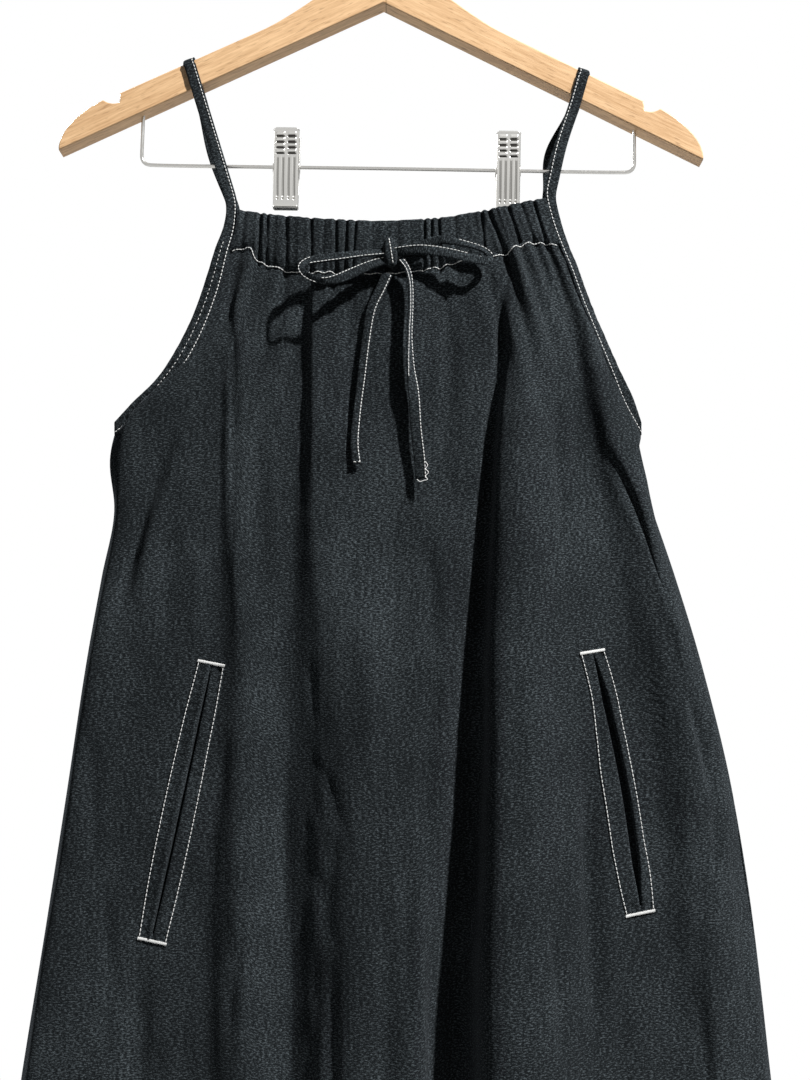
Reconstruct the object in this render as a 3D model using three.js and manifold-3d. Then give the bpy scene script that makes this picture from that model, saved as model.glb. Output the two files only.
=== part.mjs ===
// Denim trapeze dress on a wooden clip hanger.
// Millimetres. +Z is up, the front of the dress faces -Y and +X is to the wearer's left as it faces us.
// The origin is the point inside the top of the hanger's hook that rests on a rail.
import * as THREE from "three";
import { mergeVertices } from "three/addons/utils/BufferGeometryUtils.js";
import Module from "manifold-3d";

const wasm = await Module();
wasm.setup();

// ---------------------------------------------------------------- driving dimensions
const CLOTH = 1.2; // wall of one layer of denim
const SEAM_GAP = 0.3; // space left between two pieces that are sewn together
const UNDERARM_Z = -402; // where armhole, side seam and both panels meet
const HEM_Z = -1160;
const BAND_THICK = 2.4; // folded bias band of the armholes
const BAND_SETBACK = 1.1; // from the panel's edge to the band's, where the band turns round the side
const STRAP_WIDTH = 7;
const STRAP_THICK = 2;
const CASING_THICK = 3.2; // two layers of gathered denim with the string between them

const WOOD_THICK = 14;
const WOOD_EDGE = 2.5; // rounding of the wood's edges
const HANGER_TILT = 0.0162; // radians: the dress pulls its right end down a little
const HOOK_WIRE = 4;
const HOOK_BEND = 21; // radius of the hook at the middle of the wire
const BAR_WIRE = 2.4;
const BAR_Z = -217;
const BAR_REACH = 169; // from the middle of the bar to each leg
const BAR_SHIFT = 4.8; // the bar is set a little to the right of the wood's middle
const BAR_BEND = 7;

// ---------------------------------------------------------------- small tools
const V = (x, y, z) => new THREE.Vector3(x, y, z);
const mix = (a, b, t) => a + (b - a) * t;
const clamp = (x, low, high) => Math.min(high, Math.max(low, x));

/** A smooth curve through short lists that never overshoots (monotone cubic); `at` rises or falls. */
function smoothCurve(at, value) {
  const n = at.length;
  const slope = [];
  for (let i = 0; i < n - 1; i += 1) {
    slope.push((value[i + 1] - value[i]) / (at[i + 1] - at[i]));
  }
  const tangent = [slope[0]];
  for (let i = 1; i < n - 1; i += 1) {
    const together = slope[i - 1] * slope[i];
    tangent.push(together <= 0 ? 0 : (2 * together) / (slope[i - 1] + slope[i]));
  }
  tangent.push(slope[n - 2]);
  const falling = at[n - 1] < at[0];
  return (x) => {
    let i = 0;
    while (i < n - 2 && (falling ? x < at[i + 1] : x > at[i + 1])) i += 1;
    const span = at[i + 1] - at[i];
    const t = clamp((x - at[i]) / span, 0, 1);
    const t2 = t * t;
    const t3 = t2 * t;
    return (
      value[i] * (2 * t3 - 3 * t2 + 1) +
      tangent[i] * span * (t3 - 2 * t2 + t) +
      value[i + 1] * (3 * t2 - 2 * t3) +
      tangent[i + 1] * span * (t3 - t2)
    );
  };
}

const column = (rows, name) => rows.map((row) => row[name]);

/** Turns rows of points into one closed body: grids[0] is the outer face, grids[1] the inner one. */
function wall(outer, inner) {
  const rows = outer.length;
  const cols = outer[0].length;
  const positions = [];
  for (const p of [outer, inner].flat(2)) positions.push(p.x, p.y, p.z);
  const index = [];
  const a = (r, c) => r * cols + c;
  const b = (r, c) => rows * cols + r * cols + c;
  const quad = (p, q, r, s) => index.push(p, q, r, p, r, s);
  for (let r = 0; r < rows - 1; r += 1) {
    for (let c = 0; c < cols - 1; c += 1) {
      quad(a(r, c), a(r + 1, c), a(r + 1, c + 1), a(r, c + 1));
      quad(b(r, c), b(r, c + 1), b(r + 1, c + 1), b(r + 1, c));
    }
  }
  for (let r = 0; r < rows - 1; r += 1) {
    quad(a(r, 0), b(r, 0), b(r + 1, 0), a(r + 1, 0));
    quad(a(r, cols - 1), a(r + 1, cols - 1), b(r + 1, cols - 1), b(r, cols - 1));
  }
  for (let c = 0; c < cols - 1; c += 1) {
    quad(a(0, c), a(0, c + 1), b(0, c + 1), b(0, c));
    quad(a(rows - 1, c), b(rows - 1, c), b(rows - 1, c + 1), a(rows - 1, c + 1));
  }
  const geometry = new THREE.BufferGeometry();
  geometry.setAttribute("position", new THREE.Float32BufferAttribute(positions, 3));
  geometry.setIndex(index);
  return facingOut(geometry);
}

/** Turns the faces over where a body came out inside out. */
function facingOut(geometry) {
  const p = geometry.getAttribute("position");
  const index = Array.from(geometry.index.array);
  const corner = (k) => V().fromBufferAttribute(p, k);
  let volume = 0;
  for (let i = 0; i < index.length; i += 3) {
    volume += corner(index[i]).dot(corner(index[i + 1]).cross(corner(index[i + 2])));
  }
  if (volume < 0) {
    index.reverse();
  }
  geometry.setIndex(index);
  return geometry;
}

/** A solid through rings of points, closed by a fan at each end. */
function loft(rings) {
  const n = rings[0].length;
  const positions = [];
  for (const p of rings.flat()) positions.push(p.x, p.y, p.z);
  const index = [];
  for (let k = 0; k < rings.length - 1; k += 1) {
    for (let i = 0; i < n; i += 1) {
      const j = (i + 1) % n;
      const [p, q, r, s] = [k * n + i, k * n + j, (k + 1) * n + j, (k + 1) * n + i];
      index.push(p, q, r, p, r, s);
    }
  }
  const last = (rings.length - 1) * n;
  for (let i = 1; i < n - 1; i += 1) {
    index.push(0, i + 1, i);
    index.push(last, last + i, last + i + 1);
  }
  const geometry = new THREE.BufferGeometry();
  geometry.setAttribute("position", new THREE.Float32BufferAttribute(positions, 3));
  geometry.setIndex(index);
  return facingOut(geometry);
}

/** A flat band along a curve, its face to the front. */
function ribbon(points, width, thick, steps) {
  const curve = new THREE.CatmullRomCurve3(points, false, "centripetal");
  const rings = [];
  for (let k = 0; k <= steps; k += 1) {
    const t = k / steps;
    const along = curve.getTangentAt(t);
    const side = V(0, -1, 0).cross(along).normalize();
    const face = V().crossVectors(along, side).normalize();
    const middle = curve.getPointAt(t);
    rings.push(bandSection(middle, side, face, width, thick));
  }
  return loft(rings);
}

function bandSection(middle, side, face, width, thick) {
  const corner = (s, f) =>
    middle.clone().addScaledVector(side, (s * width) / 2).addScaledVector(face, (f * thick) / 2);
  return [corner(-1, -1), corner(1, -1), corner(1, 1), corner(-1, 1)];
}

/** A round wire along a curve. */
function wire(curve, diameter, steps, sides = 8) {
  const corners = Array.from({ length: sides }, (_, i) => {
    const angle = ((i + 0.5) / sides) * 2 * Math.PI;
    return new THREE.Vector2(Math.cos(angle), Math.sin(angle)).multiplyScalar(diameter / 2);
  });
  const section = new THREE.Shape(corners);
  return new THREE.ExtrudeGeometry(section, { steps, bevelEnabled: false, extrudePath: curve });
}

function toSolid(geometry) {
  let plain = geometry.clone();
  plain.deleteAttribute("normal");
  plain.deleteAttribute("uv");
  plain = mergeVertices(plain, 1e-4);
  const corners = plain.attributes.position.array;
  const faces = plain.index.array;
  return new wasm.Manifold(new wasm.Mesh({ numProp: 3, vertProperties: corners, triVerts: faces }));
}

function fromSolid(solid) {
  const mesh = solid.getMesh();
  const geometry = new THREE.BufferGeometry();
  geometry.setAttribute("position", new THREE.Float32BufferAttribute(mesh.vertProperties, 3));
  geometry.setIndex(Array.from(mesh.triVerts));
  return geometry;
}

const cut = (geometry, ...tools) =>
  fromSolid(tools.reduce((solid, tool) => solid.subtract(toSolid(tool)), toSolid(geometry)));

// ---------------------------------------------------------------- outline of the dress
// The armhole bands, from the neck corner down to the underarm: the sewn inner edge and the free
// outer edge, each with how far it stands off the plane through the side seams.
const ARMHOLE_LEFT = [
  { innerX: -100.6, innerZ: -245.4, innerOut: 9.0, outerX: -107.2, outerZ: -247.6, outerOut: 9.0 },
  { innerX: -101.8, innerZ: -262.0, innerOut: 9.2, outerX: -109.0, outerZ: -260.0, outerOut: 9.0 },
  { innerX: -105.9, innerZ: -280.0, innerOut: 10.0, outerX: -115.0, outerZ: -277.5, outerOut: 9.0 },
  { innerX: -110.3, innerZ: -301.0, innerOut: 10.5, outerX: -120.4, outerZ: -297.0, outerOut: 9.0 },
  { innerX: -119.0, innerZ: -328.0, innerOut: 10.2, outerX: -128.6, outerZ: -322.0, outerOut: 8.5 },
  { innerX: -131.5, innerZ: -354.0, innerOut: 9.0, outerX: -139.9, outerZ: -346.0, outerOut: 7.5 },
  { innerX: -146.5, innerZ: -373.0, innerOut: 7.0, outerX: -152.6, outerZ: -365.5, outerOut: 6.0 },
  { innerX: -163.2, innerZ: -389.0, innerOut: 4.5, outerX: -168.5, outerZ: -381.0, outerOut: 4.0 },
  { innerX: -181.0, innerZ: -402.0, innerOut: 0.15, outerX: -181.0, outerZ: -394.0, outerOut: 1.4 },
];
const ARMHOLE_RIGHT = [
  { innerX: 108.0, innerZ: -238.4, innerOut: 9.0, outerX: 114.6, outerZ: -240.4, outerOut: 9.0 },
  { innerX: 112.6, innerZ: -259.0, innerOut: 9.4, outerX: 118.4, outerZ: -257.5, outerOut: 8.0 },
  { innerX: 118.0, innerZ: -276.0, innerOut: 10.4, outerX: 123.4, outerZ: -274.0, outerOut: 7.0 },
  { innerX: 124.4, innerZ: -293.0, innerOut: 11.0, outerX: 129.8, outerZ: -290.5, outerOut: 6.4 },
  { innerX: 131.0, innerZ: -313.0, innerOut: 11.0, outerX: 136.4, outerZ: -310.0, outerOut: 5.8 },
  { innerX: 140.0, innerZ: -336.0, innerOut: 10.0, outerX: 145.4, outerZ: -333.0, outerOut: 5.2 },
  { innerX: 150.6, innerZ: -362.0, innerOut: 8.0, outerX: 156.2, outerZ: -358.5, outerOut: 4.6 },
  { innerX: 159.0, innerZ: -382.0, innerOut: 5.0, outerX: 165.4, outerZ: -378.0, outerOut: 3.4 },
  { innerX: 171.0, innerZ: -402.0, innerOut: 0.15, outerX: 171.0, outerZ: -394.0, outerOut: 1.4 },
];
// The side seams below the underarm.
const SIDE_SEAMS = [
  { z: -421, left: -183.9, right: 167.4 },
  { z: -453, left: -180.1, right: 177.3 },
  { z: -498, left: -187.2, right: 191.5 },
  { z: -556, left: -196.0, right: 207.6 },
  { z: -637, left: -206.0, right: 225.1 },
  { z: -720, left: -216.6, right: 236.2 },
  { z: -820, left: -230.0, right: 244.8 },
  { z: -960, left: -246.0, right: 257.0 },
  { z: HEM_Z, left: -264.0, right: 271.0 },
];
// The gathered casing round the neck: its two edges and how far it stands off the same plane.
const FRONT_CASING = [
  { across: 0, top: -249.8, foot: -281.0, out: 9.6 },
  { across: 0.04, top: -251.6, foot: -279.4, out: 11.2 },
  { across: 0.105, top: -254.2, foot: -287.4, out: 13.2 },
  { across: 0.175, top: -256.6, foot: -294.0, out: 15.6 },
  { across: 0.22, top: -257.9, foot: -295.8, out: 16.9 },
  { across: 0.47, top: -261.5, foot: -298.0, out: 20.4 },
  { across: 0.55, top: -260.8, foot: -296.4, out: 20.4 },
  { across: 0.66, top: -258.6, foot: -291.4, out: 19.2 },
  { across: 0.785, top: -253.1, foot: -285.2, out: 16.4 },
  { across: 0.86, top: -249.0, foot: -280.0, out: 14.4 },
  { across: 0.935, top: -244.7, foot: -275.6, out: 11.8 },
  { across: 1, top: -241.6, foot: -276.6, out: 9.6 },
];
const BACK_CASING = [
  { across: 0, top: -249.8, foot: -281.0, out: 9.6 },
  { across: 0.2, top: -255.8, foot: -290.0, out: 15.5 },
  { across: 0.5, top: -259.4, foot: -295.0, out: 19.5 },
  { across: 0.8, top: -251.4, foot: -286.0, out: 15.5 },
  { across: 1, top: -241.6, foot: -276.6, out: 9.6 },
];

/** The edge that the panels and the casing are sewn along, from the neck corner to the hem. */
function outline(armhole, side) {
  const z = [...column(armhole, "innerZ"), ...column(SIDE_SEAMS, "z")];
  const x = [...column(armhole, "innerX"), ...column(SIDE_SEAMS, side)];
  return smoothCurve(z, x);
}
const leftEdge = outline(ARMHOLE_LEFT, "left");
const rightEdge = outline(ARMHOLE_RIGHT, "right");
const seamOut = SEAM_GAP / 2;
const edgeOut = (armhole) => {
  const stand = smoothCurve(column(armhole, "innerZ"), column(armhole, "innerOut"));
  return (z) => (z <= UNDERARM_Z ? seamOut : stand(z));
};

// ---------------------------------------------------------------- folds of the two panels
// One row for each crest or trough that runs from the neck to the hem. `x` is its place across and
// `out` how far it stands off the side-seam plane, both in millimetres, at these heights.
const LEVELS = [-290, -340, -400, -470, -550, -660, -780, HEM_Z];
const FRONT_FOLDS = [
  {
    line: "left side",
    x: [-105, -121, -172, -176, -188, -201, -217, -252],
    out: [10.5, 10.5, 7.5, 9, 11, 12, 13, 18],
  },
  {
    line: "left plain",
    x: [-101.5, -115, -150, -152, -158, -165, -175, -205],
    out: [11, 11.5, 9.5, 9.5, 11, 12, 13, 24],
  },
  {
    line: "foot of left crest",
    x: [-99, -107.2, -109.5, -108.5, -108, -118, -118, -130],
    out: [11.6, 12, 12.8, 13.2, 14, 15, 17, 27],
  },
  {
    line: "left crest",
    x: [-93, -101, -102, -99, -91, -88, -87, -89],
    out: [13.4, 15.2, 16.4, 17.4, 20, 24.4, 28, 39],
  },
  {
    line: "inner left trough",
    x: [-70, -70, -70, -69, -67.5, -65.5, -62, -62],
    out: [15.3, 15, 14.5, 14, 14, 14, 16, 17],
  },
  {
    line: "foot of middle fold",
    x: [-57, -54, -54.5, -58, -60, -58, -57, -58],
    out: [15.4, 14.8, 14.8, 14.8, 14.8, 14.6, 14.8, 17],
  },
  {
    line: "middle fold, left crest",
    x: [-49, -46.5, -46.5, -46, -40, -22, -23, -17],
    out: [18.8, 20.6, 22, 23.6, 27, 33.5, 36.5, 46],
  },
  {
    line: "middle fold",
    x: [-20, -18, -15, -10, -12, 2, 2, 4],
    out: [19.7, 20.5, 21, 22, 29.5, 34, 40, 49],
  },
  {
    line: "middle fold, right crest",
    x: [25, 22, 20, 18, 15, 20, 21, 22],
    out: [20, 20.3, 20.5, 21, 27.5, 33, 41, 52],
  },
  {
    line: "right of middle fold",
    x: [72, 70, 62, 56, 45, 39, 30, 30],
    out: [17.4, 19, 20, 21, 23.5, 25, 29, 36],
  },
  {
    line: "deep trough",
    x: [80.5, 76.5, 71, 66, 61, 55.5, 47.5, 49],
    out: [15.4, 16, 16, 15.5, 15, 15, 15, 16],
  },
  {
    line: "lip of right fold",
    x: [84.5, 84, 77.2, 72.6, 69.4, 66, 63, 66],
    out: [17, 20.5, 30, 34, 39.5, 48, 59.5, 68],
  },
  {
    line: "right crest",
    x: [93, 96, 95, 92, 90, 88, 88, 92],
    out: [17, 24.5, 33, 38, 43.5, 52, 63, 72],
  },
  {
    line: "right slope",
    x: [104, 112, 118, 122, 124, 126, 127, 132],
    out: [12.8, 20, 20, 22, 27, 32, 38, 48],
  },
  {
    line: "underarm trough",
    x: [112, 125, 134, 145, 158, 172, 180, 195],
    out: [11.6, 13.3, 13.5, 15, 18, 21, 24, 34],
  },
  {
    line: "underarm crest",
    x: [118.5, 135.5, 147.5, 170, 188, 198, 205, 222],
    out: [11, 16, 20, 23, 24.5, 25, 26, 34],
  },
  {
    line: "right side",
    x: [122, 140.3, 165, 178.5, 200.5, 221, 234, 257],
    out: [10.5, 11, 8, 13, 12.5, 11, 11, 17],
  },
];
const BACK_FOLDS = [
  {
    line: "left side",
    x: [-104, -120, -171, -175, -187, -200, -216, -252],
    out: [10.5, 10.3, 5, 6, 8, 9, 10, 16],
  },
  {
    line: "left plain",
    x: [-98, -111, -144, -146, -152, -160, -172, -204],
    out: [11, 11.5, 9.5, 10.5, 13, 16, 20, 28],
  },
  {
    line: "left crest",
    x: [-76, -84, -92, -93, -96, -98, -102, -122],
    out: [14, 17.5, 21, 25, 29, 34, 39, 50],
  },
  {
    line: "left trough",
    x: [-39, -43, -55, -50, -47, -43, -47, -60],
    out: [17, 16.5, 15, 14, 14, 14, 14, 15],
  },
  {
    line: "middle crest, left",
    x: [-8, -12, -22, -14, -8, -6, -10, -20],
    out: [18.6, 21, 24, 27, 31, 35, 39, 46],
  },
  {
    line: "middle crest, right",
    x: [24, 27, 16, 20, 24, 27, 27, 22],
    out: [18.6, 20, 22, 25, 28, 32, 36, 49],
  },
  {
    line: "right trough",
    x: [49, 54, 46, 48, 54, 58, 56, 57],
    out: [17, 16.2, 15, 14.4, 14, 14, 14, 15],
  },
  {
    line: "right crest",
    x: [86, 92, 86, 90, 98, 106, 112, 120],
    out: [14.3, 16.7, 20, 25, 30, 35, 41, 53],
  },
  {
    line: "right plain",
    x: [112, 127, 140, 147, 162, 178, 188, 212],
    out: [11.5, 11.5, 10, 11.5, 14, 18, 22, 31],
  },
  {
    line: "right side",
    x: [121, 139.5, 163, 175.5, 198, 220, 233, 256],
    out: [10.5, 10.5, 6, 7, 9, 10, 11, 17],
  },
];

/** The outer face of a panel: point(u, z) with u from 0 at the left edge to 1 at the right. */
function panelFace(folds, facing) {
  const lines = folds.map((row) => ({
    x: smoothCurve(LEVELS, row.x),
    out: smoothCurve(LEVELS, row.out),
  }));
  const [leftOut, rightOut] = [edgeOut(ARMHOLE_LEFT), edgeOut(ARMHOLE_RIGHT)];
  const last = lines.length + 1;
  function knots(z) {
    const [left, right] = [leftEdge(z), rightEdge(z)];
    const level = clamp(z, HEM_Z, LEVELS[0]);
    const [levelLeft, levelRight] = [leftEdge(level), rightEdge(level)];
    const inside = lines.map((l) => {
      const share = (l.x(level) - levelLeft) / (levelRight - levelLeft);
      return new THREE.Vector2(mix(left, right, share), l.out(level));
    });
    return [new THREE.Vector2(left, leftOut(z)), ...inside, new THREE.Vector2(right, rightOut(z))];
  }
  return (u, z) => {
    const p = knots(z);
    const place = clamp(u, 0, 1) * last;
    const i = Math.min(Math.floor(place), last - 1);
    const t = place - i;
    const chord = p[i].distanceTo(p[i + 1]);
    const lead = (k) => {
      const [before, after] = [p[Math.max(k - 1, 0)], p[Math.min(k + 1, last)]];
      return after.clone().sub(before).normalize().multiplyScalar(chord);
    };
    const [t2, t3] = [t * t, t * t * t];
    const at = p[i].clone().multiplyScalar(2 * t3 - 3 * t2 + 1)
      .addScaledVector(lead(i), t3 - 2 * t2 + t)
      .addScaledVector(p[i + 1], 3 * t2 - 2 * t3)
      .addScaledVector(lead(i + 1), t3 - t2);
    return V(at.x, facing * at.y, z);
  };
}

/** The direction out of the cloth at a point of a face. */
function faceNormal(face, facing, u, z) {
  const du = 0.002;
  const dz = 1;
  const across = face(Math.min(u + du, 1), z).sub(face(Math.max(u - du, 0), z));
  const down = face(u, z - dz).sub(face(u, z + dz));
  const normal = V().crossVectors(across, down).normalize();
  return normal.y * facing < 0 ? normal.negate() : normal;
}

const FRONT = -1;
const BACK = 1;
const frontFace = panelFace(FRONT_FOLDS, FRONT);
const backFace = panelFace(BACK_FOLDS, BACK);

/** Finds the cloth at a place given by x and z, moved out by a distance. */
function onPanel(face, facing, x, z, away) {
  let [low, high] = [0, 1];
  for (let k = 0; k < 30; k += 1) {
    const middle = (low + high) / 2;
    if (face(middle, z).x < x) low = middle;
    else high = middle;
  }
  const u = (low + high) / 2;
  return face(u, z).addScaledVector(faceNormal(face, facing, u, z), away);
}

const TOP_GAP = 0.9; // under the casing, whose facets don't line up with the panel's

/** The height of a panel's sewn top edge, just under the casing's foot. */
function topEdge(face, foot, u) {
  let z = foot(0.5);
  for (let k = 0; k < 4; k += 1) {
    const [left, right] = [leftEdge(z), rightEdge(z)];
    z = foot((face(u, z).x - left) / (right - left)) - TOP_GAP;
  }
  return z;
}

const UPPER_ROWS = 8; // of facets between the casing and the underarm
const ROW_GROWTH = 1.25; // below it they start short, where the outline curves most

/** One panel of cloth, front or back, from the casing's foot to the hem. */
function panel(face, facing, casing, columns, lowerRows) {
  const foot = smoothCurve(column(casing, "across"), column(casing, "foot"));
  const [outer, inner] = [[], []];
  for (let r = 0; r <= UPPER_ROWS + lowerRows; r += 1) {
    const [outerRow, innerRow] = [[], []];
    for (let c = 0; c <= columns; c += 1) {
      const u = c / columns;
      const down = (r - UPPER_ROWS) / lowerRows;
      const z = down <= 0
        ? mix(topEdge(face, foot, u), UNDERARM_Z, r / UPPER_ROWS)
        : mix(UNDERARM_Z, HEM_Z, down ** ROW_GROWTH);
      const point = face(u, z);
      const normal = faceNormal(face, facing, u, z);
      const behind = point.clone().addScaledVector(normal, -CLOTH);
      const atSeam = (c === 0 || c === columns) && r >= UPPER_ROWS;
      if (atSeam) {
        const slide = clamp(CLOTH / Math.max(Math.abs(normal.x), 0.25), CLOTH, 4 * CLOTH);
        behind.copy(point).setX(point.x + (c === 0 ? slide : -slide));
      }
      outerRow.push(point);
      innerRow.push(behind);
    }
    outer.push(outerRow);
    inner.push(innerRow);
  }
  return wall(outer, inner);
}

// ---------------------------------------------------------------- welt pockets
const WELT_THICK = 1;
const WELT_LIFT = 0.9; // clears the flat facets of the panel under it
const WELT_STEPS = 8;
// Each slit runs from its top to its foot. `outer` and `inner` are how far its two lips reach, towards
// the side seam and towards the middle, at the shares `along` it.
const POCKETS = [
  {
    side: "left", seam: -1,
    topX: -112, topZ: -556.4, footX: -146.7, footZ: -728.6, bow: 0.4, gape: 0.8,
    along: [0, 0.25, 0.5, 0.75, 1],
    outer: [9.2, 11.2, 11.8, 11.2, 8.8],
    inner: [9.2, 10.2, 10.8, 10.9, 10.2],
  },
  {
    side: "right", seam: 1,
    topX: 133, topZ: -549.3, footX: 160.4, footZ: -710, bow: 4.4, gape: 4,
    along: [0, 0.15, 0.32, 0.5, 0.71, 0.88, 1],
    outer: [8.2, 8.8, 7.8, 7.6, 7.6, 8.9, 8.8],
    inner: [8.8, 9.6, 12.6, 15, 15.3, 13.4, 10.4],
  },
];
const SLIT_WIDTH = 5;
const BAG = { width: 84, head: 14, drop: 46, outer: 8, depth: 6, cloth: 0.8, columns: 6, rows: 8 };
const BAG_BEHIND = CLOTH + 1.8; // from the panel's face to the bag's
const BAG_FAR_OUT = 10.4; // how far the bag's free side stands off the side-seam plane

/** A place in a pocket: along from 0 at its top to 1 at its foot, aside in millimetres from its slit. */
function pocketPlace(pocket, along, aside) {
  const axis = new THREE.Vector2(pocket.footX - pocket.topX, pocket.footZ - pocket.topZ);
  const length = axis.length();
  const bend = pocket.bow * 4 * along * (1 - along);
  const x = mix(pocket.topX, pocket.footX, along) + bend - (axis.y / length) * aside;
  const z = mix(pocket.topZ, pocket.footZ, along) + (axis.x / length) * aside;
  return [x, z];
}

/** One lip of a pocket, outer or inner: a folded strip of cloth from the slit's edge outwards. */
function welt(pocket, lip) {
  const reach = smoothCurve(pocket.along, pocket[lip]);
  const toward = lip === "outer" ? pocket.seam : -pocket.seam;
  const gap = pocket.gape / 2 + 0.2;
  const grid = (away) =>
    Array.from({ length: WELT_STEPS + 1 }, (_, k) =>
      [0, 0.5, 1].map((share) => {
        const aside = toward * mix(gap, reach(k / WELT_STEPS), share);
        const [x, z] = pocketPlace(pocket, k / WELT_STEPS, aside);
        return onPanel(frontFace, FRONT, x, z, away);
      }));
  return wall(grid(WELT_LIFT + WELT_THICK), grid(WELT_LIFT));
}

/** The slot through the cloth of a pocket's slit, `half` wide to each side. */
function slitTool(pocket, half, nearest, deepest, start = 0.03, end = 0.97) {
  const grid = (away) =>
    Array.from({ length: WELT_STEPS + 1 }, (_, k) =>
      [-half, half].map((aside) => {
        const [x, z] = pocketPlace(pocket, mix(start, end, k / WELT_STEPS), aside);
        return onPanel(frontFace, FRONT, x, z, away);
      }));
  return wall(grid(nearest), grid(deepest));
}

/** The bag hangs inside the front, from outside the slit towards the middle of the dress. */
function pocketBag(pocket) {
  const body = (inset) => {
    const layer = (depth) =>
      Array.from({ length: BAG.rows + 1 }, (_, r) =>
        Array.from({ length: BAG.columns + 1 }, (_, c) => {
          const z = mix(pocket.topZ + BAG.head - inset, pocket.footZ - BAG.drop + inset, r / BAG.rows);
          const along = clamp((z - pocket.topZ) / (pocket.footZ - pocket.topZ), 0, 1);
          const slitX = pocketPlace(pocket, along, 0)[0];
          const aside = mix(inset - BAG.outer, BAG.width - inset, c / BAG.columns);
          const x = slitX - pocket.seam * aside;
          const hung = THREE.MathUtils.smoothstep(aside, 0, BAG.width * 0.6);
          const atSlit = -onPanel(frontFace, FRONT, slitX, z, 0).y - BAG_BEHIND;
          const here = -onPanel(frontFace, FRONT, x, z, 0).y - BAG_BEHIND;
          return V(x, depth - Math.min(here, mix(atSlit, BAG_FAR_OUT, hung)), z);
        }));
    return wall(layer(inset), layer(BAG.depth - inset));
  };
  const mouth = slitTool(pocket, SLIT_WIDTH / 2, 1, -BAG_BEHIND - BAG.depth / 2, 0.06, 0.94);
  return cut(body(0), body(BAG.cloth), mouth);
}

// ---------------------------------------------------------------- casing, bands and straps
// The deepest gathers of the casing: place across, depth and half-width in millimetres.
const GATHERS = [
  { across: 0.06, deep: 1.1, half: 3.5 },
  { across: 0.15, deep: 1.6, half: 3 },
  { across: 0.25, deep: 1.3, half: 4 },
  { across: 0.35, deep: 1.7, half: 3.5 },
  { across: 0.44, deep: 1.2, half: 3 },
  { across: 0.6, deep: 1.1, half: 3 },
  { across: 0.7, deep: 1.4, half: 3.5 },
  { across: 0.81, deep: 1.8, half: 3.5 },
  { across: 0.92, deep: 1.6, half: 4 },
];
const CASING_COLUMNS = 44;
const CASING_END_GAP = 1.1; // its ends are straighter than the curved bands beside them

/** The gathered tunnel round the neck that holds the string, front or back. */
function casing(rows, facing) {
  const along = (name) => smoothCurve(column(rows, "across"), column(rows, name));
  const [top, foot, out] = [along("top"), along("foot"), along("out")];
  const left = (z) => leftEdge(z) + CASING_END_GAP;
  const right = (z) => rightEdge(z) - CASING_END_GAP;
  const width = rightEdge(foot(1)) - leftEdge(foot(0));
  const ring = (s) => {
    const sink = GATHERS.reduce((sum, g) => {
      const away = ((s - g.across) * width) / g.half;
      return sum + g.deep * Math.exp(-away * away);
    }, 0);
    const [high, low] = [top(s), foot(s)];
    const put = (share, away) => {
      const z = mix(high, low, share);
      return V(mix(left(z), right(z), s), facing * (out(s) + away), z);
    };
    const front = CASING_THICK / 2 - sink * 0.6;
    const back = -CASING_THICK / 2;
    const outside = [put(0, 0), put(0.12, front), put(0.88, front), put(1, front - 1)];
    const inside = [put(1, back + 0.6), put(0.88, back), put(0.12, back)];
    return [...outside, ...inside];
  };
  return loft(Array.from({ length: CASING_COLUMNS + 1 }, (_, k) => ring(k / CASING_COLUMNS)));
}

/** A band's last section stands square to the side seam, where the front one meets the back one. */
function underarmEnd(inner, outer, facing) {
  const [near, far] = [seamOut, seamOut + BAND_THICK];
  const at = (p, out, lift) => V(p.x, facing * out, p.z + lift);
  return [at(inner, near, 0.4), at(inner, far, 0.4), at(outer, far, 0), at(outer, near, 0)];
}

/** The folded bias band that binds one armhole edge of the front or the back. */
function armholeBand(armhole, edge, facing) {
  const rings = [];
  const order = armhole.map((_, i) => i);
  const row = smoothCurve(column(armhole, "innerZ"), order);
  const along = (name) => smoothCurve(order, column(armhole, name));
  const [outerX, outerZ, outerOut] = [along("outerX"), along("outerZ"), along("outerOut")];
  const stand = smoothCurve(column(armhole, "innerZ"), column(armhole, "innerOut"));
  const sewn = (z) => V(edge(z), facing * stand(z), z);
  const casingEnd = armhole === ARMHOLE_LEFT ? FRONT_CASING.at(0) : FRONT_CASING.at(-1);
  const meeting = casingEnd.foot - SEAM_GAP;
  const heights = [0, 1 / 3, 2 / 3].map((t) => mix(armhole[0].innerZ, meeting, t));
  for (let k = 0; k <= UPPER_ROWS; k += 1) heights.push(mix(meeting, UNDERARM_Z, k / UPPER_ROWS));
  const steps = heights.length - 1;
  for (let k = 0; k <= steps; k += 1) {
    const z = heights[k];
    const inner = sewn(z);
    const outer = V(outerX(row(z)), facing * outerOut(row(z)), outerZ(row(z)));
    const down = sewn(Math.max(z - 1, UNDERARM_Z)).sub(sewn(z + 1));
    const side = outer.clone().sub(inner);
    const face = V().crossVectors(side, down).normalize();
    if (face.y * facing < 0) face.negate();
    inner.addScaledVector(side.clone().normalize(), BAND_SETBACK);
    const half = BAND_THICK / 2;
    const raise = half - CLOTH;
    const corner = (p, away) => p.clone().addScaledVector(face, away);
    rings.push([
      corner(inner, raise - half),
      corner(inner, raise + half),
      corner(outer, half),
      corner(outer, -half),
    ]);
    if (k === steps) rings[k] = underarmEnd(inner, outer, facing);
  }
  return loft(rings);
}

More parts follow.
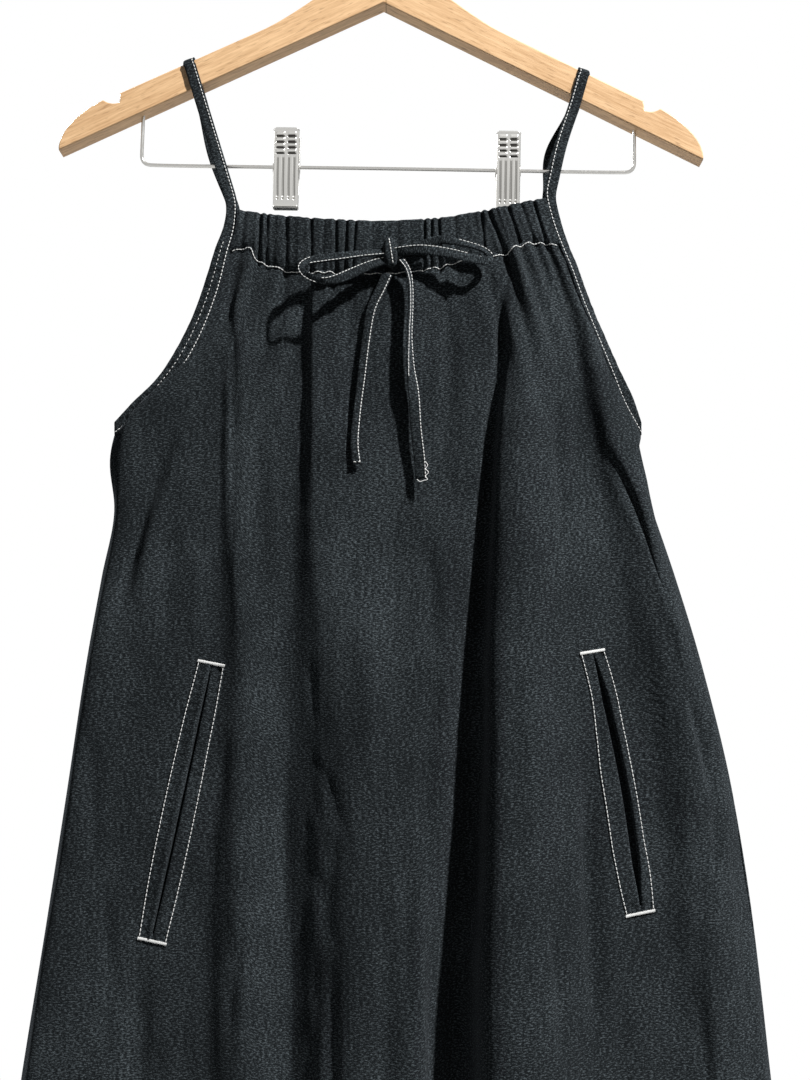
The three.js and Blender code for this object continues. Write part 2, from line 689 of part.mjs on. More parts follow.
// ---------------------------------------------------------------- hanger
// The wood as drawn flat and level; its outline is the same on both sides of the hook.
const WOOD = { topZ: -72, bossHalf: 12, apexZ: -100.2, slope: 0.492, footSlope: 0.5 };
const NECK = { x: -85, z: -122 }; // where the arm's straight top begins
const TIP = { x: -219.6, z: -209.9 };
const NOTCH_X = -179.6; // the upright wall of the notch near each tip
const HOLE_ROOM = 0.7; // how much wider the wood's holes are than the wires in them
const woodTop = (x) => NECK.z - (Math.abs(x) + NECK.x) * WOOD.slope;
const woodFoot = (x) => WOOD.apexZ - Math.abs(x) * WOOD.footSlope;

function woodOutline() {
  const half = new THREE.Path();
  half.moveTo(0, WOOD.apexZ);
  half.lineTo(TIP.x, TIP.z);
  half.lineTo(-219.9, -205.5);
  half.bezierCurveTo(-216.5, -191.5, -203.5, -180.5, -190.8, -173.6);
  half.lineTo(-184.5, -175.6);
  half.lineTo(NOTCH_X, -173.5);
  half.lineTo(NOTCH_X, woodTop(NOTCH_X));
  half.lineTo(NECK.x, NECK.z);
  half.bezierCurveTo(-62, -111, -38, -88, -WOOD.bossHalf, WOOD.topZ - 1);
  const left = half.getPoints(6);
  const right = left.slice(1).reverse().map((p) => new THREE.Vector2(-p.x, p.y));
  return new THREE.Shape([...left, ...right]);
}

function woodBody() {
  const geometry = new THREE.ExtrudeGeometry(woodOutline(), {
    depth: WOOD_THICK - 2 * WOOD_EDGE,
    bevelEnabled: true,
    bevelThickness: WOOD_EDGE,
    bevelSize: WOOD_EDGE,
    bevelOffset: -WOOD_EDGE,
    bevelSegments: 2,
  });
  geometry.translate(0, 0, -(WOOD_THICK - 2 * WOOD_EDGE) / 2);
  geometry.rotateX(Math.PI / 2);
  const drill = (x, top, bottom, wireAcross) => {
    const radius = (wireAcross + HOLE_ROOM) / 2;
    const bit = new THREE.CylinderGeometry(radius, radius, top - bottom, 12);
    bit.rotateX(Math.PI / 2);
    bit.translate(x, 0, (top + bottom) / 2);
    return bit;
  };
  const hookHole = drill(0, WOOD.topZ + 5, WOOD.apexZ - 5, HOOK_WIRE);
  const legHoles = [BAR_SHIFT - BAR_REACH, BAR_SHIFT + BAR_REACH].map((x) =>
    drill(x, woodFoot(x) + 9, woodFoot(x) - 12, BAR_WIRE));
  return cut(geometry, hookHole, ...legHoles);
}

/** The hook's wire: over the rail, back under it and down through the wood. */
function hookBody() {
  const centre = V(0, 0, HOOK_WIRE / 2 - HOOK_BEND);
  const points = [];
  const arc = (middle, radius, from, to, steps) => {
    for (let k = 0; k <= steps; k += 1) {
      const angle = THREE.MathUtils.degToRad(mix(from, to, k / steps));
      points.push(V(middle.x + radius * Math.cos(angle), 0, middle.z + radius * Math.sin(angle)));
    }
  };
  arc(centre, HOOK_BEND, -35, 229, 21);
  const lower = V(-HOOK_BEND, 0, centre.z - 2 * HOOK_BEND * Math.sin(Math.PI / 3));
  arc(lower, HOOK_BEND, 60, 0, 6);
  points.push(V(0, 0, mix(lower.z, WOOD.apexZ, 0.5)), V(0, 0, WOOD.apexZ + 3));
  const curve = new THREE.CatmullRomCurve3(points, false, "centripetal");
  return wire(curve, HOOK_WIRE, 40);
}

/** The wire below the wood that the clips hang on. */
function barBody() {
  const half = (side) => {
    const legX = BAR_SHIFT + side * BAR_REACH;
    const bendX = legX - side * BAR_BEND;
    const bend = new THREE.QuadraticBezierCurve3(
      V(legX, 0, BAR_Z + BAR_BEND), V(legX, 0, BAR_Z), V(bendX, 0, BAR_Z));
    const head = V(legX, 0, woodFoot(legX) + 8);
    return [head, head.clone().lerp(bend.v0, 0.5), ...bend.getPoints(5)];
  };
  const points = [...half(-1), V(BAR_SHIFT, 0, BAR_Z), ...half(1).reverse()];
  return wire(new THREE.CatmullRomCurve3(points, false, "centripetal"), BAR_WIRE, 44, 6);
}

// ---------------------------------------------------------------- shoulder straps over the wood
const STRAP_REST = { left: -133.4, right: 138.8 }; // where each strap lies on the hanger's arm
const STRAP_CLEAR = 0.5; // between the strap and the wood it lies on
const STRAP_LEVEL = 24; // how far below the wood's top the strap hangs clear of its front

/** A shoulder strap, from the front neck corner over the hanger's arm to the back neck corner. */
function strap(armhole, side) {
  const corner = armhole[0];
  const footX = (corner.innerX + corner.outerX) / 2;
  const footZ = (corner.innerZ + corner.outerZ) / 2 + 2 * SEAM_GAP;
  const rest = STRAP_REST[side];
  const onWood = V(rest, 0, woodTop(rest)).applyAxisAngle(V(0, 1, 0), HANGER_TILT);
  const round = WOOD_EDGE + STRAP_CLEAR + STRAP_THICK / 2;
  const flat = WOOD_THICK / 2 - WOOD_EDGE;
  const crown = onWood.z + 0.6;
  const clear = crown - STRAP_LEVEL;
  const slope = V(1, 0, Math.sign(-rest) * WOOD.slope).normalize();
  const fall = V(onWood.z - footZ, 0, footX - onWood.x).normalize();
  const share = (z, from) => clamp((from - z) / (from - footZ), 0, 1);
  const rows = [footZ, mix(footZ, clear, 0.5), clear, crown - 10].map((z) => {
    const out = mix(flat + round, corner.innerOut, share(z, clear));
    return { at: V(mix(onWood.x, footX, share(z, onWood.z)), -out, z), side: fall, face: V(0, -1, 0) };
  });
  for (let k = 0; k <= 4; k += 1) {
    const angle = (k / 4) * (Math.PI / 2);
    const [forward, up] = [Math.cos(angle), Math.sin(angle)];
    const at = V(onWood.x, -(flat + round * forward), crown - WOOD_EDGE + round * up);
    rows.push({ at, side: fall.clone().lerp(slope, k / 4).normalize(), face: V(0, -forward, up) });
  }
  const behind = rows.slice().reverse().map((row) => ({
    at: V(row.at.x, -row.at.y, row.at.z),
    side: row.side,
    face: V(0, -row.face.y, row.face.z),
  }));
  const rings = [...rows, ...behind].map((row) => {
    const face = row.face.clone().addScaledVector(row.side, -row.face.dot(row.side)).normalize();
    return bandSection(row.at, row.side, face, STRAP_WIDTH, STRAP_THICK);
  });
  return loft(rings);
}

// ---------------------------------------------------------------- clips on the bar
const CLIP = { plate: 0.8, top: 25, foot: 29, spreadTop: 7, spreadBar: 4.4, spreadFoot: 1, ear: 5 };

// Where each clip stands along the bar, and its width.
const CLIPS = [
  { side: "left", x: -64.6, width: 17.5 },
  { side: "right", x: 87.1, width: 16.5 },
];

/** One jaw: a pressed plate, wide apart at the finger end and closed at the teeth. */
function clipJaw(width, facing) {
  const profile = [
    { z: CLIP.top, out: CLIP.spreadTop },
    { z: 8, out: CLIP.spreadBar + 1 },
    { z: -6, out: CLIP.spreadBar },
    { z: -CLIP.foot + 6, out: CLIP.spreadFoot + 0.8 },
    { z: -CLIP.foot + 1, out: CLIP.spreadFoot },
    { z: -CLIP.foot, out: CLIP.spreadFoot + 2.2 },
  ];
  const grid = (away) => profile.map((row) =>
    [-width / 2, 0, width / 2].map((x) => V(x, facing * (row.out + away), row.z)));
  return wall(grid(CLIP.plate), grid(0));
}

/** The coil spring that closes the jaws, wound round the bar. */
function clipSpring(width) {
  const [inner, outer] = [BAR_WIRE / 2 + 0.6, CLIP.spreadBar - 0.5];
  const half = width / 2 - 1.5;
  const profile = [[inner, -half], [outer, -half], [outer, half], [inner, half], [inner, -half]];
  const ring = new THREE.LatheGeometry(profile.map((p) => new THREE.Vector2(...p)), 16);
  return ring.rotateZ(Math.PI / 2);
}

// ---------------------------------------------------------------- bow
const STRING = { width: 7, thick: 1.8 };
const string = (rows, steps) =>
  ribbon(rows.map(([x, out, z]) => V(x, -out, z)), STRING.width, STRING.thick, steps);
// Each stretch of the string as x, distance in front of the side-seam plane, and z.
const BOW_LOOP_LEFT = [
  [-3.6, 27.6, -285.6], [-13.2, 28, -286.8], [-25, 29, -288.5], [-39.4, 30, -290.6],
  [-50, 31, -292.9], [-54.6, 33, -296.8], [-53, 35.5, -301.8], [-47, 37, -306], [-38.8, 36, -307.6],
  [-29.6, 33.5, -305], [-21.8, 31, -301], [-13.9, 28.6, -296.7], [-8.4, 26.8, -293.9],
];
const BOW_LOOP_RIGHT = [
  [10.4, 28.4, -284.6], [15.8, 28.8, -284], [24, 29.2, -284], [33.5, 29.4, -285.2], [43, 30, -287.2],
  [52, 30.5, -289.5], [61, 29.5, -291.6], [67, 28, -291.6], [69.4, 26.8, -288.6], [66.5, 26, -284.6],
  [60.5, 25.6, -281.6], [51.4, 25.6, -279], [43, 25.8, -277.2], [36.5, 26, -276.6],
  [29.5, 26, -278.6], [22.5, 26, -281.6], [14.5, 26, -284],
];
const TAIL_LEFT = [
  [1.5, 25.4, -299.5], [-3, 25, -310], [-8.5, 24.2, -322], [-12.5, 23.8, -345], [-15.5, 23.6, -370],
  [-18.3, 23.6, -393], [-19.6, 24.2, -414], [-18.2, 24.4, -426.5],
];
const TAIL_RIGHT = [
  [10.2, 27.8, -291], [14.2, 28, -297], [16.2, 28, -306], [16.6, 28, -322], [15.8, 27.8, -342],
  [16.6, 27.4, -364], [19, 27, -382], [20.6, 26.8, -405], [23, 26.8, -426], [23.6, 27, -437],
];
const KNOT = { x: 3.3, z: -285.4, out: 26.4, wide: 10.5, tall: 21, deep: 8 };

function knotBody() {
  const shape = new THREE.SphereGeometry(1, 10, 8);
  shape.scale(KNOT.wide / 2, KNOT.deep / 2, KNOT.tall / 2);
  shape.translate(KNOT.x, -KNOT.out, KNOT.z);
  return shape;
}

// ---------------------------------------------------------------- assembly
const denim = new THREE.MeshStandardMaterial({ color: 0x1d1f22, roughness: 0.92, metalness: 0 });
const wood = new THREE.MeshStandardMaterial({ color: 0xc99a68, roughness: 0.5, metalness: 0 });
const steel = new THREE.MeshStandardMaterial({ color: 0xc9ccd0, roughness: 0.25, metalness: 1 });
const part = new THREE.Group();
const hanger = new THREE.Group();
hanger.rotation.y = HANGER_TILT;
part.add(hanger);

function add(name, geometry, material, parent = part) {
  const mesh = new THREE.Mesh(geometry, material);
  mesh.name = name;
  parent.add(mesh);
  return mesh;
}

const slits = POCKETS.map((pocket) => slitTool(pocket, SLIT_WIDTH / 2, 3, -4));
add("front_panel", cut(panel(frontFace, FRONT, FRONT_CASING, 54, 14), ...slits), denim);
add("back_panel", panel(backFace, BACK, BACK_CASING, 33, 12), denim);
add("front_casing", casing(FRONT_CASING, FRONT), denim);
add("back_casing", casing(BACK_CASING, BACK), denim);

for (const [side, armhole, edge] of [
  ["left", ARMHOLE_LEFT, leftEdge],
  ["right", ARMHOLE_RIGHT, rightEdge],
]) {
  add(`armhole_band_front_${side}`, armholeBand(armhole, edge, FRONT), denim);
  add(`armhole_band_back_${side}`, armholeBand(armhole, edge, BACK), denim);
  add(`strap_${side}`, strap(armhole, side), denim);
}

for (const pocket of POCKETS) {
  add(`pocket_${pocket.side}_welt_outer`, welt(pocket, "outer"), denim);
  add(`pocket_${pocket.side}_welt_inner`, welt(pocket, "inner"), denim);
  add(`pocket_${pocket.side}_bag`, pocketBag(pocket), denim);
}

add("bow_knot", knotBody(), denim);
add("bow_loop_left", string(BOW_LOOP_LEFT, 20), denim);
add("bow_loop_right", string(BOW_LOOP_RIGHT, 20), denim);
add("tie_tail_left", string(TAIL_LEFT, 14), denim);
add("tie_tail_right", string(TAIL_RIGHT, 16), denim);

add("hanger_wood", woodBody(), wood, hanger);
add("hanger_hook", hookBody(), steel, hanger);
add("hanger_bar", barBody(), steel, hanger);
for (const { side, x, width } of CLIPS) {
  const clip = new THREE.Group();
  clip.position.set(x, 0, BAR_Z);
  hanger.add(clip);
  add(`clip_${side}_front_jaw`, clipJaw(width, FRONT), steel, clip);
  add(`clip_${side}_back_jaw`, clipJaw(width, BACK), steel, clip);
  add(`clip_${side}_spring`, clipSpring(width), steel, clip);
}

export default part;
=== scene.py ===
# %% [markdown]
# # A black denim dress on a wooden clip hanger
# A trapeze dress is two flared panels, sewn at the sides. A casing round the neck holds a string that
# gathers them, bias bands bind the armholes and run on as shoulder straps, and two welt pockets are
# stitched in white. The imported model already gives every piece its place, in metres, with the point
# inside the top of the hook as the origin, so each piece below is made where that model has it.

import math

import bmesh
import bpy
import numpy as np
from mathutils import Matrix, Vector, noise


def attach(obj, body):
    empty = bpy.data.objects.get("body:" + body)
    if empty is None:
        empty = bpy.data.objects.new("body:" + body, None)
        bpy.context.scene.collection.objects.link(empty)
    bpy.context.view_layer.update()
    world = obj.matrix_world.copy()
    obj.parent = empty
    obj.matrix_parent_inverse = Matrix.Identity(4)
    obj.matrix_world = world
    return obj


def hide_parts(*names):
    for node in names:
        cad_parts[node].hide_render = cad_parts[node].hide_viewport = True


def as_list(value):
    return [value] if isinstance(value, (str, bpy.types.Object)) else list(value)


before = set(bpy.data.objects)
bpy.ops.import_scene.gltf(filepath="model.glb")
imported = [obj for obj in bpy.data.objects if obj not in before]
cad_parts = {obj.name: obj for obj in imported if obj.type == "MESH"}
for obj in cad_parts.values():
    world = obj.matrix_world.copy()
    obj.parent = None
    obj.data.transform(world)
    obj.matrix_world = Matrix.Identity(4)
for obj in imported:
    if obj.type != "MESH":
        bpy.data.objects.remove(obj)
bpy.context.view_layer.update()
MM = 0.001

# %% [markdown]
# ## Camera
# The dress is seen from a little below its middle, looking up by seven degrees, which shows the
# underside of the hanger's arms. The focal length is the distance at which one pixel is one unit.

# %% Camera
IMAGE_HEIGHT = 1080  # pixels
FOCAL = 1368  # pixels
SENSOR = 24  # millimetres
CAMERA_PLACE = (0.01309, -0.900, -0.584)
LOOK_UP = 7  # degrees
camera = bpy.data.objects.new("camera", bpy.data.cameras.new("camera"))
camera.data.sensor_fit = "VERTICAL"
camera.data.sensor_height = SENSOR
camera.data.lens = SENSOR * FOCAL / IMAGE_HEIGHT
camera.location = CAMERA_PLACE
camera.rotation_euler = (math.radians(90 + LOOK_UP), 0, 0)
bpy.context.scene.collection.objects.link(camera)
bpy.context.scene.camera = camera
print("lens", round(camera.data.lens, 2), "mm")

# %% [markdown]
# ## Curves through a few chosen points
# A table of a few rows is enough for a smooth outline if the curve between them never overshoots.
# That is a monotone cubic. A string's route is a Catmull-Rom curve, which passes through its points.
# Both are made of the same cubic. A hill and a step are the two soft shapes that all the cloth's
# unevenness is drawn with.


# %% Smooth curves
ROUTE_STEPS = 24


def cubic(t, here, leave, there, arrive):
    """The smooth way from here to there as t goes from 0 to 1, with its slopes at both ends."""
    t2, t3 = t * t, t * t * t
    way = here * (2 * t3 - 3 * t2 + 1) + leave * (t3 - 2 * t2 + t)
    return way + there * (3 * t2 - 2 * t3) + arrive * (t3 - t2)


def hill(distance, half):
    """1 where the distance is 0, falling away like a bell, down to a third at half."""
    return np.exp(-((distance / half) ** 2))


def smooth_step(step):
    """A smooth 0 to 1 over a step from 0 to 1."""
    t = np.clip(step, 0, 1)
    return t * t * (3 - 2 * t)


def smooth_curve(at, value):
    """The smooth line through a short table that never overshoots it; it takes arrays too."""
    at, value = np.array(at, float), np.array(value, float)
    if at[0] > at[-1]:
        at, value = at[::-1], value[::-1]
    slope = np.diff(value) / np.diff(at)
    product, total = slope[:-1] * slope[1:], slope[:-1] + slope[1:]
    middle = np.where(product > 0, 2 * product / np.where(product > 0, total, 1), 0)
    lead = np.concatenate([slope[:1], middle, slope[-1:]])

    def curve(x):
        x = np.clip(x, at[0], at[-1])
        i = np.clip(np.searchsorted(at, x) - 1, 0, len(at) - 2)
        span = at[i + 1] - at[i]
        return cubic((x - at[i]) / span, value[i], lead[i] * span, value[i + 1], lead[i + 1] * span)

    return curve


def route(points, steps):
    """Evenly spaced points along a centripetal Catmull-Rom curve through the chosen ones."""
    p = np.array(points, float)
    p = np.vstack([2 * p[0] - p[1], p, 2 * p[-1] - p[-2]])
    gap = np.linalg.norm(np.diff(p, axis=0), axis=1) ** 0.5
    fine = []
    for i in range(1, len(p) - 2):
        before, here, after = gap[i - 1], gap[i], gap[i + 1]
        a, b, c = (p[i] - p[i - 1]) / before, (p[i + 1] - p[i]) / here, (p[i + 2] - p[i + 1]) / after
        leave = (a - (p[i + 1] - p[i - 1]) / (before + here) + b) * here
        arrive = (b - (p[i + 2] - p[i]) / (here + after) + c) * here
        t = np.linspace(0, 1, ROUTE_STEPS, endpoint=i == len(p) - 3)[:, None]
        fine.append(cubic(t, p[i], leave, p[i + 1], arrive))
    return even(np.vstack(fine), steps)


def length_along(points):
    steps = np.linalg.norm(np.diff(points, axis=0), axis=1)
    return np.concatenate([[0], np.cumsum(steps)])


def even(points, steps):
    """The same line with its points evenly spaced."""
    run = length_along(points)
    places = np.linspace(0, run[-1], steps + 1)
    return np.stack([np.interp(places, run, points[:, k]) for k in range(points.shape[1])], axis=1)


def unit(vectors):
    return vectors / np.maximum(np.linalg.norm(vectors, axis=-1, keepdims=True), 1e-9)


def spaced(values, count):
    """A few values spread evenly over a line of points, and blended between."""
    return np.interp(np.linspace(0, 1, count), np.linspace(0, 1, len(values)), values)


# %% [markdown]
# ## One way to lay a surface
# Cloth, bands, strings and wires are all grids: rows of points in space. Blender's grid operator makes
# the quads, and each corner then moves to its point. The map on the surface is measured along the rows
# and columns in metres, so a weave keeps its real scale. A grid that comes back on itself is welded.


# %% Surfaces
def made_mesh(name, bm):
    mesh = bpy.data.meshes.new(name)
    bm.to_mesh(mesh)
    bm.free()
    return mesh


def made_piece(name, bm, finish):
    """Ends the making of a mesh and puts it in the scene, shaded smooth."""
    mesh = made_mesh(name, bm)
    mesh.materials.append(finish)
    for face in mesh.polygons:
        face.use_smooth = True
    piece = bpy.data.objects.new(name, mesh)
    bpy.context.scene.collection.objects.link(piece)
    return piece


def surface(name, points, finish, turned=False, caps=False, drop=None):
    """Quads on an array of points in millimetres, rows by columns by three.

    turned shows the other face, caps closes the open ends, and drop says which faces to leave out.
    """
    rows, columns = points.shape[:2]
    across = np.linalg.norm(np.diff(points, axis=1), axis=2).cumsum(axis=1)
    across = np.hstack([np.zeros((rows, 1)), across])
    across -= across[:, columns // 2: columns // 2 + 1]
    along = np.linalg.norm(np.diff(points, axis=0), axis=2).mean(axis=1).cumsum()
    along = np.concatenate([[0], along])
    bm = bmesh.new()
    bmesh.ops.create_grid(bm, x_segments=columns - 1, y_segments=rows - 1, size=1)
    place = {}
    for corner in bm.verts:
        column = round((corner.co.x + 1) / 2 * (columns - 1))
        row = round((corner.co.y + 1) / 2 * (rows - 1))
        place[corner] = (across[row, column] * MM, along[row] * MM)
        corner.co = points[row, column] * MM
    layer = bm.loops.layers.uv.new("cloth")
    for face in bm.faces:
        for loop in face.loops:
            loop[layer].uv = place[loop.vert]
    if turned:
        bmesh.ops.reverse_faces(bm, faces=bm.faces[:])
    if drop:
        gone = [face for face in bm.faces if drop(face.calc_center_median() / MM)]
        bmesh.ops.delete(bm, geom=gone, context="FACES")
    bmesh.ops.remove_doubles(bm, verts=bm.verts[:], dist=1e-6)
    if caps:
        rim = [edge for edge in bm.edges if edge.is_boundary]
        bmesh.ops.holes_fill(bm, edges=rim, sides=0)
        bmesh.ops.recalc_face_normals(bm, faces=bm.faces[:])
    return made_piece(name, bm, finish)


def wall(piece, thickness):
    """Gives a laid surface its thickness, inwards."""
    solid = piece.modifiers.new("thickness", "SOLIDIFY")
    solid.thickness = thickness * MM
    solid.offset = -1
    return piece


def section_points(middle, side, face, width, thick, around, square):
    """Closed sections carried along a line. They are round where square is 2, and flat above it."""
    angle = np.linspace(0, 2 * math.pi, around + 1)
    flat = np.sign(np.cos(angle)) * np.abs(np.cos(angle)) ** (2 / square)
    tall = np.sign(np.sin(angle)) * np.abs(np.sin(angle)) ** (2 / square)
    width, thick = np.broadcast_to(width, len(middle)), np.broadcast_to(thick, len(middle))
    aside = side[:, None, :] * (flat[None, :] * width[:, None] / 2)[..., None]
    out = face[:, None, :] * (tall[None, :] * thick[:, None] / 2)[..., None]
    return middle[:, None, :] + aside + out


def ripple(points, size, depth, seed):
    """Smooth unevenness: a height for each point, features about `size` millimetres across."""
    flat = (points / np.array(size)).reshape(-1, 3)
    shift = Vector((seed * 7.31, seed * 3.17, seed * 5.71))
    heights = np.array([noise.noise(Vector(p) + shift) for p in flat])
    return depth * heights.reshape(points.shape[:-1])


# %% [markdown]
# ## Finishes
# A finish is a tree of shader nodes. Written as sums and products it reads like the recipe it is, so
# one small class wraps a socket and adds the Math nodes, and one method adds any other node.


# %% Shader arithmetic
class Value:
    """A socket of a finish. Arithmetic on it adds Math nodes."""

    def __init__(self, finish, socket):
        self.finish, self.socket = finish, socket

    def maths(self, operation, *values):
        return self.finish.node("Math", {"operation": operation}, dict(enumerate(values)))

    def __add__(self, other):
        return self.maths("ADD", self, other)

    def __sub__(self, other):
        return self.maths("SUBTRACT", self, other)

    def __rsub__(self, other):
        return self.maths("SUBTRACT", other, self)

    def __mul__(self, other):
        return self.maths("MULTIPLY", self, other)

    def __pow__(self, other):
        return self.maths("POWER", self, other)

    def wave(self):
        return self.maths("SINE", self)

    def size(self):
        return self.maths("ABSOLUTE", self)

    def between(self, low, high, to_low=0.0, to_high=1.0):
        """0 below low, 1 above high, and smooth between them."""
        return self.finish.node("MapRange", {"interpolation_type": "SMOOTHSTEP"},
                                {0: self, 1: low, 2: high, 3: to_low, 4: to_high})


class Finish:
    """A material in the making, on one Principled shader."""

    def __init__(self, name, **uniform):
        self.material = bpy.data.materials.new(name)
        self.material.use_nodes = True
        self.tree = self.material.node_tree
        self.shader = self.tree.nodes["Principled BSDF"]
        for socket, value in uniform.items():
            self.shader.inputs[socket.replace("_", " ")].default_value = value

    def node(self, kind, settings, inputs, output=0):
        made = self.tree.nodes.new("ShaderNode" + kind)
        for key, value in settings.items():
            setattr(made, key, value)
        for key, value in inputs.items():
            if isinstance(value, Value):
                self.tree.links.new(value.socket, made.inputs[key])
            else:
                made.inputs[key].default_value = value
        return Value(self, made.outputs[output])

    def place(self, source, scale=(1, 1, 1)):
        spot = self.node("TexCoord", {}, {}, output=source)
        return self.node("Mapping", {}, {"Vector": spot, "Scale": scale})

    def split(self, place):
        """The x, y and z of a place."""
        first = self.node("SeparateXYZ", {}, {0: place})
        return [Value(self, socket) for socket in first.socket.node.outputs]

    def grain(self, place, scale, detail=2.0, roughness=0.5):
        inputs = {"Vector": place, "Scale": scale, "Detail": detail, "Roughness": roughness}
        return self.node("TexNoise", {}, inputs)

    def blend(self, factor, low, high):
        inputs = {0: factor, 6: low, 7: high}
        return self.node("Mix", {"data_type": "RGBA"}, inputs, output=2)

    def relief(self, height, strength, distance):
        inputs = {"Height": height, "Strength": strength, "Distance": distance * MM}
        self.feed(Normal=self.node("Bump", {}, inputs))

    def feed(self, **sockets):
        for name, value in sockets.items():
            self.tree.links.new(value.socket, self.shader.inputs[name.replace("_", " ")])


def rgb(red, green, blue):
    return (red, green, blue, 1.0)


# %% [markdown]
# ## Washed black denim
# The warp is dyed black and the weft is not, so the cloth is a near-black grey full of paler specks.
# Slubs in the warp show as short upright streaks, and washing leaves broad faint clouds. The twill is
# a fine diagonal rib. All of it reads the map in metres that each piece carries.


# %% Denim
TWILL_RISE = 0.72
TWILL_TURN = 5900  # radians for each metre across


def denim_finish(name, depth=1.0, streaks=1.0, puckers=None):
    denim = Finish(name, Roughness=0.9, Specular_IOR_Level=0.0, Sheen_Weight=0.05,
                   Sheen_Roughness=0.5, Sheen_Tint=rgb(0.75, 0.82, 0.9))
    specks = denim.grain(denim.place("UV", (470, 1150, 1)), 1.0, 2.5, 0.65)
    pepper = denim.grain(denim.place("UV", (1150, 1500, 1)), 1.0, 1.5)
    slubs = denim.grain(denim.place("UV", (520, 42, 1)), 1.0, 3, 0.6)
    clouds = denim.grain(denim.place("Object"), 16, 3, 0.55)
    across, up, _ = denim.split(denim.place("UV"))
    rib = ((across + up * TWILL_RISE) * TWILL_TURN).wave()
    bright = specks.between(0.38, 0.7) * 0.64 + pepper.between(0.4, 0.7) * 0.3 - 0.06
    bright = bright + (slubs - 0.5) * (0.35 * streaks) + (clouds - 0.5) * 0.45 + rib * 0.05
    dark, pale = rgb(0.008, 0.0095, 0.0105), rgb(0.110, 0.131, 0.142)
    shade = denim.blend(bright.between(0.0, 1.15) ** 1.25 * depth, dark, pale)
    denim.feed(Base_Color=shade, Roughness=specks.between(0.3, 0.8, 0.95, 0.82))
    height = rib * 0.25 + specks * 0.8 + slubs * 0.5
    if puckers:
        height = height + puckers(denim)
    denim.relief(height, 0.45, 0.3)
    return denim.material


denim = denim_finish("washed_black_denim")
print("denim has", len(denim.node_tree.nodes), "nodes")

# %% [markdown]
# ## The other finishes
# The topstitching is a white spun thread, twisted, so it has a fine slanting ridge. The hanger's wood
# is pale and lacquered, with its grain along each arm, so the pattern's place is folded over at the
# middle and turned with the arm. The wire and the clips are nickel plated.


# %% Thread, wood and nickel
def thread_finish():
    thread = Finish("white_thread", Roughness=0.75, Specular_IOR_Level=0.2)
    fuzz = thread.grain(thread.place("Object"), 2600, 2)
    thread.feed(Base_Color=thread.blend(fuzz, rgb(0.5, 0.5, 0.49), rgb(0.86, 0.86, 0.84)))
    thread.relief(fuzz, 0.5, 0.15)
    return thread.material


ARM_ANGLE = math.radians(26.2)


def wood_finish():
    wood = Finish("lacquered_beech", Roughness=0.4, Specular_IOR_Level=0.25, Coat_Weight=0.12,
                  Coat_Roughness=0.2)
    x, y, z = wood.split(wood.place("Object"))
    folded = wood.node("CombineXYZ", {}, {0: x.size(), 1: y, 2: z})
    turned = wood.node("Mapping", {}, {"Vector": folded, "Rotation": (0, -ARM_ANGLE, 0)})

    def along_arm(scale):
        return wood.node("Mapping", {}, {"Vector": turned, "Scale": scale})

    fibres = wood.grain(along_arm((26, 420, 520)), 1.0, 4, 0.65)
    flecks = wood.grain(along_arm((110, 700, 1100)), 1.0, 1.5)
    bands = wood.grain(along_arm((5, 40, 60)), 1.0, 2)
    tone = fibres.between(0.25, 0.75) * 0.6 + bands * 0.5 - 0.05
    body = wood.blend(tone, rgb(0.46, 0.26, 0.12), rgb(0.86, 0.58, 0.33))
    joint = 1 - x.size().between(0.0002, 0.0006)
    fleck = flecks.between(0.56, 0.75) * 0.6 + joint * 0.6
    wood.feed(Base_Color=wood.blend(fleck, body, rgb(0.27, 0.145, 0.065)),
              Roughness=fibres.between(0.3, 0.75, 0.3, 0.45))
    wood.relief(fibres + flecks * 0.6, 0.12, 0.3)
    return wood.material


def nickel_finish(name, roughness, tint):
    nickel = Finish(name, Metallic=1.0, Roughness=roughness, Base_Color=tint)
    scuffs = nickel.grain(nickel.place("Object", (1, 1, 0.2)), 900, 3)
    nickel.feed(Roughness=scuffs.between(0.3, 0.8, roughness * 0.8, roughness * 1.5))
    nickel.relief(scuffs, 0.08, 0.1)
    return nickel.material


thread = thread_finish()
wood = wood_finish()
nickel = nickel_finish("nickel_plate", 0.2, rgb(0.56, 0.55, 0.525))
print("finishes", [material.name for material in bpy.data.materials])

# %% [markdown]
# ## Topstitching
# A stitch is a short length of thread that dips into the cloth at both ends. One small ball, drawn out
# along the seam, repeats at the machine's pitch; its length and its angle vary a little.

# %% Stitches
STITCH_PITCH = 3.1
STITCH_LENGTH = 2.5
STITCH_VARIES = (0.9, 1.06)
STITCH_SWING = 0.035  # radians
THREAD = 0.56
THREAD_RISE = 0.22  # of the thread's thickness, from the cloth to the stitch's middle
THREAD_FLAT = 0.42
shuffle = np.random.default_rng(11)
bm = bmesh.new()
bmesh.ops.create_uvsphere(bm, u_segments=8, v_segments=5, radius=1)
ball = made_mesh("ball", bm)
BALL = np.array([corner.co for corner in ball.vertices])


